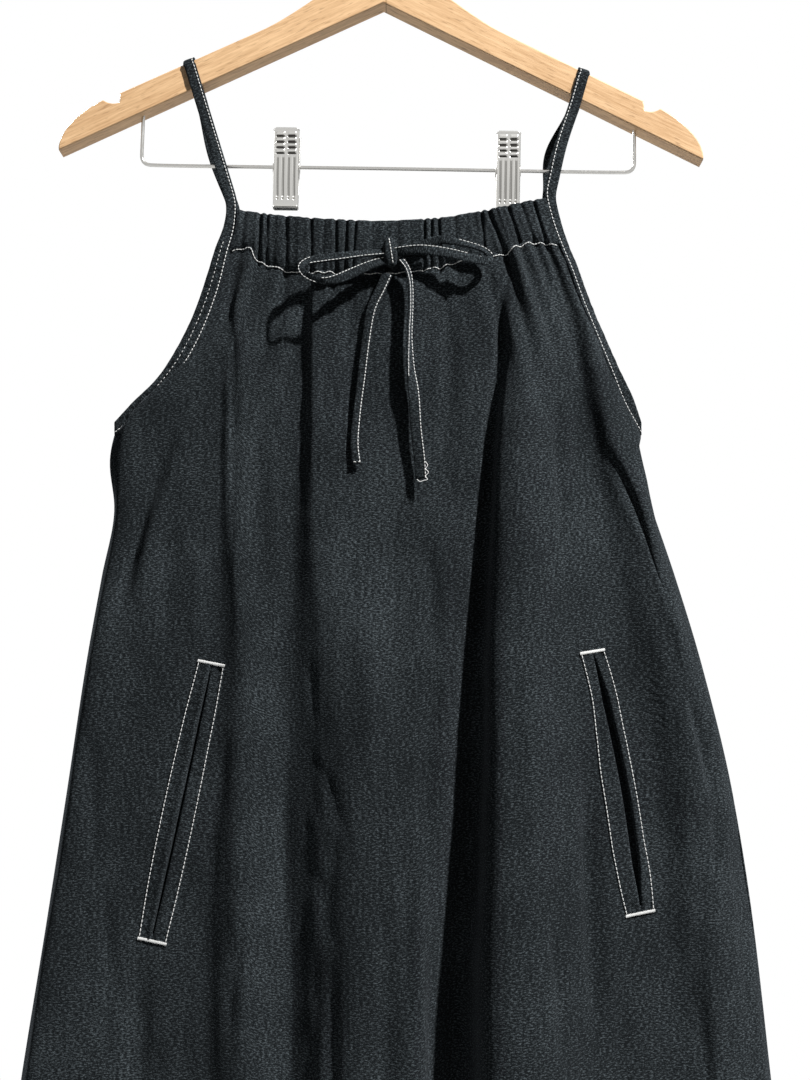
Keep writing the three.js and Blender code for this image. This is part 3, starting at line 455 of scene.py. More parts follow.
def stitches(name, points, normals, pitch=STITCH_PITCH, length=STITCH_LENGTH, thick=THREAD, turn=0):
    """One joined mesh of stitches along a line that lies on the cloth, each turned by degrees."""
    count = max(2, int(length_along(points)[-1] / pitch))
    line = even(np.hstack([points, normals]), count)
    start, end = line[:-1, :3], line[1:, :3]
    along = unit(end - start)
    up = line[:-1, 3:] - along * (line[:-1, 3:] * along).sum(axis=1, keepdims=True)
    up = unit(up)
    aside = np.cross(up, along)
    swing = (math.radians(turn) + shuffle.normal(0, STITCH_SWING, count))[:, None]
    cos, sin = np.cos(swing), np.sin(swing)
    along, aside = along * cos + aside * sin, aside * cos - along * sin
    reach = (length * shuffle.uniform(*STITCH_VARIES, count) / 2)[:, None]
    middle = (start + end) / 2 + up * thick * THREAD_RISE
    drawn = np.stack([along * reach, aside * thick / 2, up * thick * THREAD_FLAT], axis=1)
    places = (middle[:, None, :] + BALL @ drawn).reshape(-1, 3) * MM
    bm = bmesh.new()
    for _ in range(count):
        bm.from_mesh(ball, face_normals=False, vertex_normals=False)
    for corner, place in zip(bm.verts, places):
        corner.co = place
    return made_piece(name, bm, thread)


# %% [markdown]
# ## The string's free ends
# The string in the casing is a folded band seven millimetres wide, and its two ends hang down the
# front. They follow the same points as the model's, from the knot down.

# %% Tie tails
STRING_WIDTH = 7
STRING_THICK = 1.8
STRING_LIFT = 0.93  # of half its thickness, where the stitches lie
TAIL_LEFT = [
    (1.5, -25.4, -299.5), (-3, -25, -310), (-8.5, -24.2, -322), (-12.5, -23.4, -345),
    (-15.5, -23.2, -370), (-18.3, -23.2, -393), (-19.6, -24.2, -414), (-18.2, -24.4, -426.5),
]
TAIL_RIGHT = [
    (10.2, -27.8, -291), (14.2, -28, -297), (16.2, -28, -306), (16.6, -28, -322), (15.8, -27.8, -342),
    (16.6, -27.4, -364), (19, -27, -382), (20.6, -26.8, -405), (23, -26.8, -426), (23.6, -27, -437),
]


def string(name, points, steps, turn, width):
    """A stretch of the string along a route, slightly uneven, with its middle, side, face and width.

    turn and width are spread over the route: the string's turn in degrees and its share of its width.
    """
    middle = route(points, steps)
    along = unit(np.gradient(middle, axis=0))
    level = unit(np.cross((0, -1, 0), along))
    out = np.cross(along, level)
    angle = np.radians(spaced(turn, steps + 1))[:, None]
    side = level * np.cos(angle) + out * np.sin(angle)
    face = out * np.cos(angle) - level * np.sin(angle)
    share = spaced(width, steps + 1)
    grid = section_points(middle, side, face, STRING_WIDTH * share, STRING_THICK, 20, 3.2)
    grid += face[:, None, :] * ripple(grid, (5, 5, 5), 0.22, 3)[..., None]
    return surface(name, grid, denim, caps=True), middle, side, face, share


def edge_stitches(name, made, edge, part=(0, 1), **options):
    """Stitches near one edge of a string: edge is from -1 to 1 across it, part the share sewn."""
    _, middle, side, face, share = made
    line = middle + side * (STRING_WIDTH / 2 * share * edge)[:, None]
    line = line + face * (STRING_THICK / 2 * STRING_LIFT)
    first, last = (int(end * (len(line) - 1)) for end in part)
    return stitches(name, line[first:last + 1], face[first:last + 1], **options)


tail_left = string("left_tail", TAIL_LEFT, 90, turn=(0, 14, -10, 6), width=(1, 0.9, 0.72, 0.85))
tail_right = string("right_tail", TAIL_RIGHT, 96, turn=(-50, -72, -75, -70, -50, -8, 8, 14, 20),
                    width=(0.85, 0.95, 0.95, 0.95, 1, 1.05, 1.1, 1.15, 1.15))
for made in (tail_left, tail_right):
    print(made[0].name, "length", round(length_along(made[1])[-1], 1), "mm")

# %% [markdown]
# ## The outline
# Each armhole has a sewn edge and a free one, and each stands a little off the plane through the side
# seams. Below the underarm the side seams run out to the hem.

# %% Outline tables
CLOTH = 1.2  # thickness
SEAM_OUT = 0.15  # from the plane of the side seams to either panel
UNDERARM_Z = -402
HEM_Z = -1160
ARMHOLE_COLUMNS = ("inner_x", "inner_z", "inner_out", "outer_x", "outer_z", "outer_out")
ARMHOLES = {
    "left": [
        (-100.6, -245.4, 9.0, -107.2, -247.6, 9.0),
        (-101.8, -262.0, 9.2, -109.0, -260.0, 9.0),
        (-105.9, -280.0, 10.0, -115.0, -277.5, 9.0),
        (-110.3, -301.0, 10.5, -120.4, -297.0, 9.0),
        (-119.0, -328.0, 10.2, -128.6, -322.0, 8.5),
        (-131.5, -354.0, 9.0, -139.9, -346.0, 7.5),
        (-146.5, -373.0, 7.0, -152.6, -365.5, 6.0),
        (-163.2, -389.0, 4.5, -168.5, -381.0, 4.0),
        (-181.0, -402.0, 0.15, -181.0, -394.0, 1.4),
    ],
    "right": [
        (108.0, -238.4, 9.0, 114.6, -240.4, 9.0),
        (112.6, -259.0, 9.4, 118.4, -257.5, 8.0),
        (118.0, -276.0, 10.4, 123.4, -274.0, 7.0),
        (124.4, -293.0, 11.0, 129.8, -290.5, 6.4),
        (131.0, -313.0, 11.0, 136.4, -310.0, 5.8),
        (140.0, -336.0, 10.0, 145.4, -333.0, 5.2),
        (150.6, -362.0, 8.0, 156.2, -358.5, 4.6),
        (159.0, -382.0, 5.0, 165.4, -378.0, 3.4),
        (171.0, -402.0, 0.15, 171.0, -394.0, 1.4),
    ],
}
SIDE_SEAMS = {
    "z": (-421, -453, -498, -556, -637, -720, -820, -960, HEM_Z),
    "left": (-183.9, -180.1, -187.2, -196.0, -206.0, -216.6, -230.0, -246.0, -264.0),
    "right": (167.4, 177.3, 191.5, 207.6, 225.1, 236.2, 244.8, 257.0, 271.0),
}


def armhole_column(side, name):
    return [row[ARMHOLE_COLUMNS.index(name)] for row in ARMHOLES[side]]


def outline(side):
    z = armhole_column(side, "inner_z") + list(SIDE_SEAMS["z"])
    return smooth_curve(z, armhole_column(side, "inner_x") + list(SIDE_SEAMS[side]))


def stand_off(side):
    curve = smooth_curve(armhole_column(side, "inner_z"), armhole_column(side, "inner_out"))
    return lambda z: np.where(z <= UNDERARM_Z, SEAM_OUT, curve(z))


def x_at(share, z):
    """x of a share of the way across, from the dress's left edge, 0, to its right, 1."""
    left, right = edges["left"](z), edges["right"](z)
    return left + (right - left) * share


def share_at(x, z):
    left, right = edges["left"](z), edges["right"](z)
    return (x - left) / (right - left)


edges = {side: outline(side) for side in ARMHOLES}
stands = {side: stand_off(side) for side in ARMHOLES}
print("width at the hem", edges["right"](HEM_Z) - edges["left"](HEM_Z), "mm")

# %% [markdown]
# ## The large folds
# The flare falls in long folds from the gathers to the hem. Each crest or trough is one row: its place
# across, and under it how far it stands off the plane of the side seams, at eight heights. A smooth
# curve through the rows at any height is a section of the dress.

# %% Fold tables
LEVELS = (-290, -340, -400, -470, -550, -660, -780, HEM_Z)
FRONT_FOLDS = {
    "left side": (
        (-105, -121, -172, -176, -188, -201, -217, -252),
        (10.5, 10.5, 8.5, 10.5, 12, 12.5, 13, 18)),
    "left plain": (
        (-101.5, -115, -150, -152, -158, -165, -175, -205),
        (11, 11.5, 11, 11.5, 12.5, 12.5, 13, 24)),
    "foot of left crest": (
        (-99, -107.2, -109.5, -108.5, -108, -118, -118, -130),
        (11.6, 12, 12.4, 12.6, 13.2, 14.5, 17, 27)),
    "left crest": (
        (-93, -101, -102, -99, -91, -88, -87, -89),
        (13.4, 15.2, 16.4, 17.4, 20, 24.4, 28, 39)),
    "inner left trough": (
        (-70, -70, -70, -69, -67.5, -65.5, -62, -62),
        (15.3, 15, 14.5, 14, 14, 14, 16, 17)),
    "foot of middle fold": (
        (-57, -54, -54.5, -58, -60, -58, -57, -58),
        (15.4, 14.8, 14.8, 14.8, 14.8, 14.6, 14.8, 17)),
    "middle fold, left crest": (
        (-49, -46.5, -46.5, -45, -36, -22, -23, -17),
        (18.8, 20.6, 22, 23.6, 27.5, 33.5, 36.5, 46)),
    "middle fold": (
        (-20, -18, -15, -10, -12, 2, 2, 4),
        (19.7, 20.5, 21, 22, 31.5, 35, 40, 49)),
    "middle fold, right crest": (
        (25, 22, 20, 18, 15, 20, 21, 22),
        (20, 20.3, 20.5, 21, 27.5, 33, 41, 52)),
    "right of middle fold": (
        (72, 70, 62, 56, 45, 39, 30, 30),
        (17.4, 19, 20, 21, 23.5, 25, 29, 36)),
    "deep trough": (
        (80.5, 76.5, 71, 66, 61, 55.5, 47.5, 49),
        (15.4, 15.8, 16, 15.5, 15, 15, 15, 16)),
    "lip of right fold": (
        (84.5, 83.5, 77.2, 72.6, 69.4, 66, 63, 66),
        (17, 22.5, 30, 34, 39.5, 48, 59.5, 68)),
    "right crest": (
        (93, 96, 95, 92, 90, 88, 88, 92),
        (17, 24.5, 33, 38, 43.5, 52, 63, 72)),
    "right slope": (
        (104, 112, 118, 122, 124, 126, 127, 132),
        (12.8, 20, 20, 22, 27, 32, 38, 48)),
    "underarm trough": (
        (112, 125, 134, 145, 158, 172, 180, 195),
        (11.6, 13.3, 13.5, 15, 18, 21, 24, 34)),
    "underarm crest": (
        (118.5, 135.5, 147.5, 170, 188, 198, 205, 222),
        (11, 16, 20, 23, 24.5, 25, 26, 34)),
    "right side": (
        (122, 140.3, 165, 178.5, 200.5, 221, 234, 257),
        (10.5, 11, 8, 13, 12.5, 11, 11, 17)),
}
BACK_FOLDS = {
    "left side": (
        (-104, -120, -171, -175, -187, -200, -216, -252),
        (10.5, 10.3, 5, 6, 8, 9, 10, 16)),
    "left plain": (
        (-98, -111, -144, -146, -152, -160, -172, -204),
        (11, 11.5, 9.5, 10.5, 13, 16, 20, 28)),
    "left crest": (
        (-76, -84, -92, -93, -96, -98, -102, -122),
        (14, 17.5, 21, 25, 29, 34, 39, 50)),
    "left trough": (
        (-39, -43, -55, -50, -47, -43, -47, -60),
        (17, 16.5, 15, 14, 14, 14, 14, 15)),
    "middle crest, left": (
        (-8, -12, -22, -14, -8, -6, -10, -20),
        (18.6, 21, 24, 27, 31, 35, 39, 46)),
    "middle crest, right": (
        (24, 27, 16, 20, 24, 27, 27, 22),
        (18.6, 20, 22, 25, 28, 32, 36, 49)),
    "right trough": (
        (49, 54, 46, 48, 54, 58, 56, 57),
        (17, 16.2, 15, 14.4, 14, 14, 14, 15)),
    "right crest": (
        (86, 92, 86, 90, 98, 106, 112, 120),
        (14.3, 16.7, 20, 25, 30, 35, 41, 53)),
    "right plain": (
        (112, 127, 140, 147, 162, 178, 188, 212),
        (11.5, 11.5, 10, 11.5, 14, 18, 22, 31)),
    "right side": (
        (121, 139.5, 163, 175.5, 198, 220, 233, 256),
        (10.5, 10.5, 6, 7, 9, 10, 11, 17)),
}
# The casing's edges: share across, top, foot, and how far it stands off the plane.
CASINGS = {
    "front": [
        (0, -249.8, -281.0, 9.6), (0.04, -251.6, -277.8, 11.2), (0.068, -252.7, -278.6, 12.0),
        (0.084, -253.4, -284.6, 12.5), (0.11, -254.4, -288.6, 13.3), (0.175, -256.6, -294.2, 15.6),
        (0.22, -257.9, -295.8, 16.9), (0.47, -261.5, -298.0, 20.4), (0.55, -260.8, -296.2, 20.4),
        (0.66, -258.6, -291.0, 19.2),
        (0.71, -256.5, -286.8, 18.2), (0.785, -253.1, -285.0, 16.4), (0.833, -250.5, -282.0, 15.2),
        (0.86, -249.0, -278.8, 14.4), (0.89, -247.2, -276.0, 13.4), (0.935, -244.7, -274.2, 11.8),
        (1, -241.6, -276.6, 9.6),
    ],
    "back": [
        (0, -249.8, -281.0, 9.6), (0.2, -255.8, -290.0, 15.5), (0.5, -259.4, -295.0, 19.5),
        (0.8, -251.4, -286.0, 15.5), (1, -241.6, -276.6, 9.6),
    ],
}

# %% [markdown]
# ## Gathers and creases
# The string draws the cloth into narrow upright gathers, which die out below the casing. Between the
# large folds lie shallow creases. Each is a soft trough, or with a negative depth a ridge, along a
# line from one point to another, and none of them is as long, deep or wide as the next.

# %% Gather and crease tables
# Each gather: x at the casing's top and at its foot, depth, half-width and how far down it fades.
GATHERS = {
    "front": [
        (-95, -97, 0.8, 2.6, 60), (-84.1, -85, 1.5, 2.0, 110), (-79.5, -79.8, 1.1, 1.8, 40),
        (-72, -72, -0.5, 2.4, 60), (-66.6, -66.2, 1.3, 2.2, 90), (-58, -57, -0.6, 3.5, 70),
        (-49.9, -49.5, 1.5, 2.2, 150), (-41, -42, 0.6, 2.6, 60), (-33.1, -32.9, 1.6, 1.9, 50),
        (-26, -27, 1.5, 1.7, 40), (-20, -22, 1.4, 1.8, 80), (-9, -9, 0.5, 4, 110), (8, 9, 0.4, 4, 50),
        (25.8, 25.8, 1.4, 1.7, 80), (30.5, 30.4, 1.0, 1.5, 30), (35.3, 36.6, 1.5, 1.9, 110),
        (46, 48, 0.7, 2.8, 60), (56, 58, -0.6, 3, 50), (64, 66.5, 1.3, 1.8, 60),
        (69, 80, 1.9, 2.3, 130), (76, 85, -0.8, 2.2, 40), (82.2, 90.6, 1.5, 2.0, 80),
        (91, 100, 0.9, 2.2, 50), (99.7, 108, 1.4, 2.0, 40),
    ],
    "back": [
        (-92, -93, 1.2, 2.2, 80), (-81, -80, 1.0, 2.6, 50), (-73, -74, 1.5, 2.0, 120),
        (-62, -61, 0.8, 3, 60), (-53, -54, 1.6, 2.1, 90), (-45, -44, 1.1, 1.9, 40),
        (-34, -35, 1.4, 2.2, 130), (-22, -21, 0.9, 2.8, 60), (-13, -13, 1.5, 1.9, 70),
        (-2, -1, 1.2, 2.4, 110), (9, 8, 0.8, 2.6, 50), (18, 19, 1.6, 2.0, 90), (29, 29, 1.0, 2.8, 60),
        (38, 39, 1.5, 2.0, 140), (50, 49, 0.9, 2.6, 50), (58, 60, 1.5, 1.9, 80), (70, 71, 1.1, 2.4, 60),
        (79, 82, 1.6, 2.0, 110), (91, 94, 1.0, 2.2, 50), (101, 104, 1.2, 2.0, 60),
    ],
}
# Each crease: x and z of its start and of its end, depth, half-width and how far it bows aside.
CREASES = {
    "front": [
        (-136, -394, -178, -545, 3.0, 4, 3), (-128, -398, -163, -520, -1.4, 6, 4),
        (-148, -430, -160, -540, -1.3, 5, 2), (-137, -455, -143, -560, 1.8, 6, 2),
        (-99, -300, -94, -590, -0.75, 4, 0), (-95, -560, -85, -860, -0.75, 4.5, 2),
        (-106, -292, -101, -500, 1.6, 3.5, -4), (-82, -380, -78, -520, 1.2, 6, 3),
        (-126, -470, -122, -560, -1.1, 4, -2), (-99, -590, -110, -720, 1.1, 4.5, 3),
        (-110, -700, -106, -860, 0.9, 6, 2), (-88, -720, -93, -800, 1.4, 3, 3),
        (-192, -590, -186, -700, 1.6, 5, -3), (-176, -690, -160, -790, 1.8, 4, 5),
        (-154, -730, -148, -900, 3.6, 7, 2), (-140, -770, -136, -900, 2.0, 4, 2),
        (-124, -760, -120, -900, 1.6, 4, 3), (-175, -760, -168, -815, 1.2, 4, 2),
        (-50, -548, -43, -625, 0.8, 3, -3), (-46, -610, -22, -675, 0.9, 3, -3),
        (-40, -680, -28, -740, 0.9, 3, 2), (-31, -720, -27, -860, 1.1, 3.5, 3),
        (-54, -700, -42, -790, 1.0, 3.5, -3), (-63, -620, -58, -760, 1.0, 4, 3),
        (-36, -600, -34, -690, -0.8, 3, 3), (-47, -640, -40, -700, -0.8, 2.5, -2),
        (-42, -560, -38, -640, -0.7, 2.2, 2), (-38, -690, -46, -760, -0.8, 2.4, 2),
        (-50, -720, -44, -790, -0.8, 2.2, -2), (-34, -760, -38, -850, -0.9, 2.6, 2),
        (-28, -660, -33, -720, 0.9, 2.4, 2), (-46, -780, -50, -860, 0.8, 2.4, -2),
        (-18, -300, -22, -420, 1.2, 5, 2), (42, -300, 38, -430, 1.2, 6, -3),
        (8, -420, 14, -640, 1.0, 10, 5), (26, -470, 30, -560, 1.6, 4, -3),
        (34, -560, 26, -690, 1.6, 5, 3), (-8, -520, -4, -660, -1.0, 6, 3),
        (2, -700, -6, -860, 1.4, 7, -4), (20, -650, 14, -800, 1.2, 6, 3),
        (114, -380, 116, -500, 1.4, 3, 1), (129, -600, 134, -830, 4.0, 5, 2),
        (102, -706, 107, -802, 2.2, 2.6, -2), (86, -540, 84, -700, 1.0, 6, 3),
        (143, -412, 190, -536, 3.4, 4, -4), (149, -440, 200, -620, 2.0, 8, -6),
        (194, -570, 211, -655, 2.8, 4, -3), (211, -645, 206, -690, 1.8, 4, -2),
        (200, -640, 190, -780, 1.6, 7, -4), (192, -740, 200, -900, 2.4, 6, -3),
        (146, -740, 150, -900, 1.6, 6, 2), (222, -640, 230, -800, 1.6, 6, -3),
    ],
    "back": [
        (-128, -392, -172, -560, 1.6, 5, 3), (132, -380, 184, -560, 1.8, 6, -4),
        (-96, -420, -110, -640, 1.2, 6, 3), (100, -430, 112, -680, 1.2, 7, -3),
        (-22, -330, -30, -560, 1.0, 7, 4), (24, -340, 30, -520, 0.9, 8, -3),
        (6, -600, -2, -860, 1.2, 9, 5), (-150, -660, -160, -860, 1.2, 6, 3),
        (160, -640, 172, -860, 1.4, 7, -4),
    ],
}
CREASE_BOOST = 1.6
CREASE_ENDS = (0.3, 0.4)  # shares of a crease over which it starts and dies out
GATHER_BOOST = 1.35
GATHER_FADE = 1.25
GATHER_SPREAD = 80  # how far down a gather is twice as wide
PILE_SHARE = 0.3  # of a gather's depth, heaped up beside it
PUFF = (1.3, 12, 45)  # under the seam: height, run up and run out
HEM_DEEP = 20
HEM_LIFT = 0.7


def crease_height(rows, x, z):
    total = np.zeros_like(x)
    for x0, z0, x1, z1, deep, half, bow in rows:
        run = np.hypot(x1 - x0, z1 - z0)
        along_x, along_z = (x1 - x0) / run, (z1 - z0) / run
        t = ((x - x0) * along_x + (z - z0) * along_z) / run
        aside = (x - x0) * along_z - (z - z0) * along_x - bow * 4 * t * (1 - t)
        ends = smooth_step(t / CREASE_ENDS[0]) * smooth_step((1 - t) / CREASE_ENDS[1])
        total -= CREASE_BOOST * deep * ends * hill(aside, half)
    return total


# %% [markdown]
# ## A panel as a surface
# With the tables, a place on a panel is a share across it and a height. The panel can also be asked
# for the place under a point given by x and z, which is how pockets and stitches come to lie on it.


# %% Panel surface
NEARBY = 0.002  # of the way across, for the slope of the cloth
HALVINGS = 26


class Panel:
    """The front or the back of the dress. u goes from its left edge, 0, to its right, 1."""

    def __init__(self, side, folds, facing):
        self.side, self.facing = side, facing
        self.lines = [smooth_curve(LEVELS, x) for x, _ in folds.values()]
        self.out = [smooth_curve(LEVELS, out) for _, out in folds.values()]
        columns = list(zip(*CASINGS[side]))
        self.top, self.foot, self.casing_out = (smooth_curve(columns[0], c) for c in columns[1:])

    def base(self, u, z):
        """Points of the large folds alone."""
        u, z = np.broadcast_arrays(np.asarray(u, float), np.asarray(z, float))
        level = np.clip(z, HEM_Z, LEVELS[0])
        folds = [x_at(share_at(line(level), level), z) for line in self.lines]
        x = [edges["left"](z)] + folds + [edges["right"](z)]
        out = [stands["left"](z)] + [line(level) for line in self.out] + [stands["right"](z)]
        knots = np.stack([np.stack(x), np.stack(out)], axis=-1)
        last = len(x) - 1
        place = np.clip(u, 0, 1) * last
        i = np.minimum(place.astype(int), last - 1)

        def knot(k):
            return np.take_along_axis(knots, np.clip(k, 0, last)[None, ..., None], axis=0)[0]

        here, there = knot(i), knot(i + 1)
        chord = np.linalg.norm(there - here, axis=-1, keepdims=True)
        leave, arrive = unit(there - knot(i - 1)) * chord, unit(knot(i + 2) - here) * chord
        at = cubic((place - i)[..., None], here, leave, there, arrive)
        return np.stack([at[..., 0], self.facing * at[..., 1], z], axis=-1)

    def normal(self, u, z):
        across = self.base(u + NEARBY, z) - self.base(u - NEARBY, z)
        down = self.base(u, z - 1) - self.base(u, z + 1)
        out = unit(np.cross(across, down))
        return out * np.sign(out[..., 1:2]) * self.facing

    def lift(self, x, z):
        """How far gathers, creases and the hem stand out of the large folds."""
        share = share_at(x, z)
        foot = self.foot(share)
        down = np.maximum(foot - z, 0)
        total = crease_height(CREASES[self.side], x, z)
        at_foot = x_at(share, foot)
        for _, foot_x, deep, half, below in GATHERS[self.side]:
            wide = half * (1 + down / GATHER_SPREAD)
            fade = GATHER_BOOST * hill(down, GATHER_FADE * below)
            total -= deep * fade * hill(at_foot - foot_x, wide)
            total += PILE_SHARE * deep * fade * hill(np.abs(at_foot - foot_x) / wide - 2, 0.8)
        high, run_up, run_out = PUFF
        total += high * smooth_step(down / run_up) * np.exp(-down / run_out)
        return total + HEM_LIFT * (z < HEM_Z + HEM_DEEP)

    def at(self, u, z, away=0.0):
        """The cloth with all its unevenness, moved out of itself by away."""
        place = self.base(u, z)
        uneven = ripple(place, (26, 26, 60), 0.9, 1) + ripple(place, (9, 9, 14), 0.22, 2)
        uneven += ripple(place, (8, 40, 110), 0.42, 12)
        inside = smooth_step(np.minimum(u, 1 - u) / 0.03)
        height = self.lift(place[..., 0], place[..., 2]) + uneven * inside + away
        return place + self.normal(u, z) * height[..., None]

    def on(self, x, z, away=0.0):
        """The cloth at x and z, moved out of it, and its normal."""
        x, z = np.broadcast_arrays(np.asarray(x, float), np.asarray(z, float))
        low, high = np.zeros_like(x), np.ones_like(x)
        for _ in range(HALVINGS):
            middle = (low + high) / 2
            short = self.base(middle, z)[..., 0] < x
            low, high = np.where(short, middle, low), np.where(short, high, middle)
        return self.at((low + high) / 2, z, away), self.normal((low + high) / 2, z)


FRONT, BACK = Panel("front", FRONT_FOLDS, -1), Panel("back", BACK_FOLDS, 1)

# %% [markdown]
# ## Where the pockets are
# Each pocket is a slanted slit, a little bowed, in the front. A place in it is a share along it and a
# distance aside from it, and every piece of the pocket is drawn with those two.

# %% Pocket places
SLOT = 4.4  # half the width cut out of the front behind a pocket
# A pocket bows and gapes by so much. outer and inner are its lips' reach at the shares along it.
POCKETS = {
    "left": {
        "top": (-112, -556.4), "foot": (-146.7, -728.6), "bow": 0.4, "gape": 0.8, "middle_is": 1,
        "along": (0, 0.25, 0.5, 0.75, 1), "outer": (9.2, 11.2, 11.8, 11.2, 8.8),
        "inner": (9.2, 10.2, 10.8, 10.9, 10.2),
    },
    "right": {
        "top": (133, -549.3), "foot": (160.4, -710), "bow": 4.4, "gape": 4, "middle_is": -1,
        "along": (0, 0.15, 0.32, 0.5, 0.71, 0.88, 1), "outer": (8.2, 8.8, 7.8, 7.6, 7.6, 8.9, 8.8),
        "inner": (8.8, 9.6, 12.6, 15, 15.3, 13.4, 10.4),
    },
}


def pocket_place(pocket, along, aside):
    """x and z of a place in a pocket: along it from 0 to 1, aside in millimetres from its slit."""
    (x0, z0), (x1, z1) = pocket["top"], pocket["foot"]
    run = math.hypot(x1 - x0, z1 - z0)
    bend = pocket["bow"] * 4 * along * (1 - along)
    x = x0 + (x1 - x0) * along + bend - (z1 - z0) / run * aside
    return x, z0 + (z1 - z0) * along + (x1 - x0) / run * aside


def along_pocket(pocket, z):
    return (z - pocket["top"][1]) / (pocket["foot"][1] - pocket["top"][1])


def in_a_slot(centre):
    """Whether a face of the front lies where a pocket's slit is."""
    for pocket in POCKETS.values():
        along = along_pocket(pocket, centre.z)
        if 0.03 < along < 0.97 and abs(centre.x - pocket_place(pocket, along, 0)[0]) < SLOT:
            return True
    return False


for side, pocket in POCKETS.items():
    print(side, "pocket opening", round(math.dist(pocket["top"], pocket["foot"])), "mm long")

# %% [markdown]
# ## The two panels
# A panel's grid has its rows closer together near the gathers. A little smooth noise keeps the cloth
# from being too perfect. The front has a slot for each pocket, which the welts will cover all round.
# Beside the pockets' stitching the cloth puckers too finely to model, so that is in the finish.

# %% Panels
PANEL_COLUMNS, PANEL_ROWS = 204, 216
ROW_GROWTH = 1.12
TUCK = 1.4  # how far a panel goes up under its casing


def panel_piece(panel, finish, drop=None):
    u = np.linspace(0, 1, PANEL_COLUMNS + 1)[None, :]
    down = np.linspace(0, 1, PANEL_ROWS + 1)[:, None] ** ROW_GROWTH
    top = np.full((1, PANEL_COLUMNS + 1), float(LEVELS[0]))
    for _ in range(5):
        top = panel.foot(share_at(panel.base(u, top)[..., 0], top)) + TUCK
    z = top + (HEM_Z - top) * down
    points = panel.at(np.broadcast_to(u, z.shape), z)
    piece = surface(f"denim_{panel.side}", points, finish, turned=panel.facing < 0, drop=drop)
    return wall(piece, CLOTH), points


PUCKER_PITCH = 6.4
PUCKERS = [("left", -16, 0.8), ("left", 13, 0.5), ("right", 19, 1.0), ("right", -12, 0.4)]


def pocket_puckers(finish):
    """Small waves in the cloth beside the pockets' stitching, as a height for the finish."""
    total = 0.0
    for side, beside, deep in PUCKERS:
        (x0, z0), (x1, z1) = POCKETS[side]["top"], POCKETS[side]["foot"]
        lean = math.atan2(x1 - x0, z0 - z1)
        middle = Vector((x0 + x1, 0, z0 + z1)) / 2 * MM
        spot = finish.node("TexCoord", {}, {}, output="Object")
        moved = finish.node("VectorMath", {"operation": "SUBTRACT"}, {0: spot, 1: middle})
        turned = finish.node("Mapping", {}, {"Vector": moved, "Rotation": (0, -lean, 0)})
        aside, _, along = finish.split(turned)
        waver = finish.grain(spot, 60, 1)
        wave = (along * (math.tau / (PUCKER_PITCH * MM)) + waver * 17 + aside * 200).wave()
        fade = 1 - (aside - beside * MM).size().between(0.002, 0.014)
        ends = 1 - along.size().between(0.06, 0.088)
        total = wave * fade * ends * deep + total
    return total


def laid_size(points):
    """A laid panel's width at every row, its length down the middle and its area in square metres."""
    widths = np.linalg.norm(np.diff(points, axis=1), axis=2).sum(axis=1)
    drop = np.linalg.norm(np.diff(points[:, PANEL_COLUMNS // 2], axis=0), axis=1).sum()
    quads = np.cross(points[1:, :-1] - points[:-1, :-1], points[:-1, 1:] - points[:-1, :-1])
    return widths, drop, float(np.linalg.norm(quads, axis=-1).sum()) * MM * MM


puckered_denim = denim_finish("washed_black_denim_front", puckers=pocket_puckers)
front_panel, front_points = panel_piece(FRONT, puckered_denim, in_a_slot)
back_panel, back_points = panel_piece(BACK, denim)
for panel, points in ((FRONT, front_points), (BACK, back_points)):
    widths, drop, area = laid_size(points)
    print(panel.side, "panel: top", round(widths[0]), "hem", round(widths[-1]), "long", round(drop),
          "mm, area", round(area, 4), "m2")

# %% [markdown]
# ## Hems
# The foot of each panel is turned up inside by two centimetres and topstitched. The turning is a
# second, inner layer of cloth, so the edge looks as thick as it is.

# %% Hems
HEM_ENDS = (0.004, 0.996)  # shares of the way across, just inside the side seams


def hem_piece(panel):
    u = np.linspace(*HEM_ENDS, PANEL_COLUMNS + 1)[None, :]
    z = np.linspace(HEM_Z + HEM_DEEP - 1, HEM_Z + 0.2, 7)[:, None]
    points = panel.at(*np.broadcast_arrays(u, z), away=-CLOTH - 0.15)
    return wall(surface(f"hem_{panel.side}", points, denim, turned=panel.facing < 0), CLOTH)


def hem_line(panel):
    """The level line of the hem's stitching, with its normals."""
    u = np.linspace(*HEM_ENDS, 260)
    z = np.full(u.shape, HEM_Z + HEM_DEEP - 2.0)
    return panel.at(u, z, 0.1), panel.normal(u, z)


hems, hem_rows = [], []
for panel in (FRONT, BACK):
    hems.append(hem_piece(panel))
    hem_rows.append(stitches(f"hem_stitches_{panel.side}", *hem_line(panel)))
print("hems", [piece.name for piece in hems])

# %% [markdown]
# ## The gathered casing
# The top of each panel is folded in over the string and sewn down, which makes a flat tunnel. Its
# section is a closed loop: up the outside from the seam, over the rounded top and down the inside. The
# gathers pinch it hardest at the seam and at the top, where they also scallop the edge.

# %% Casings
CASING_THICK = 3.2
CASING_END_GAP = 0.6
CASING_COLUMNS = 400
CASING_ROLL = 1.6  # radius of its rounded top
PINCH = (1.4, 0.52)  # how much deeper and narrower than below it a gather is on the casing
RIDGES = (0.35, 1.35, 0.55)  # beside each pinch: height, distance and half-width
# Its section up the outside and down the inside: share of the way up, and how far out.
OUTSIDE = [
    (0, 0), (0.02, 0.5), (0.06, 1.2), (0.12, 1.7), (0.2, 1.95), (0.32, 2.0), (0.45, 1.9), (0.58, 1.85),
    (0.7, 1.8), (0.82, 1.75), (0.92, 1.65),
]
INSIDE = [(0.92, -1.6), (0.7, -1.7), (0.45, -1.75), (0.25, -1.7), (0.1, -1.6), (0.02, -1.5)]


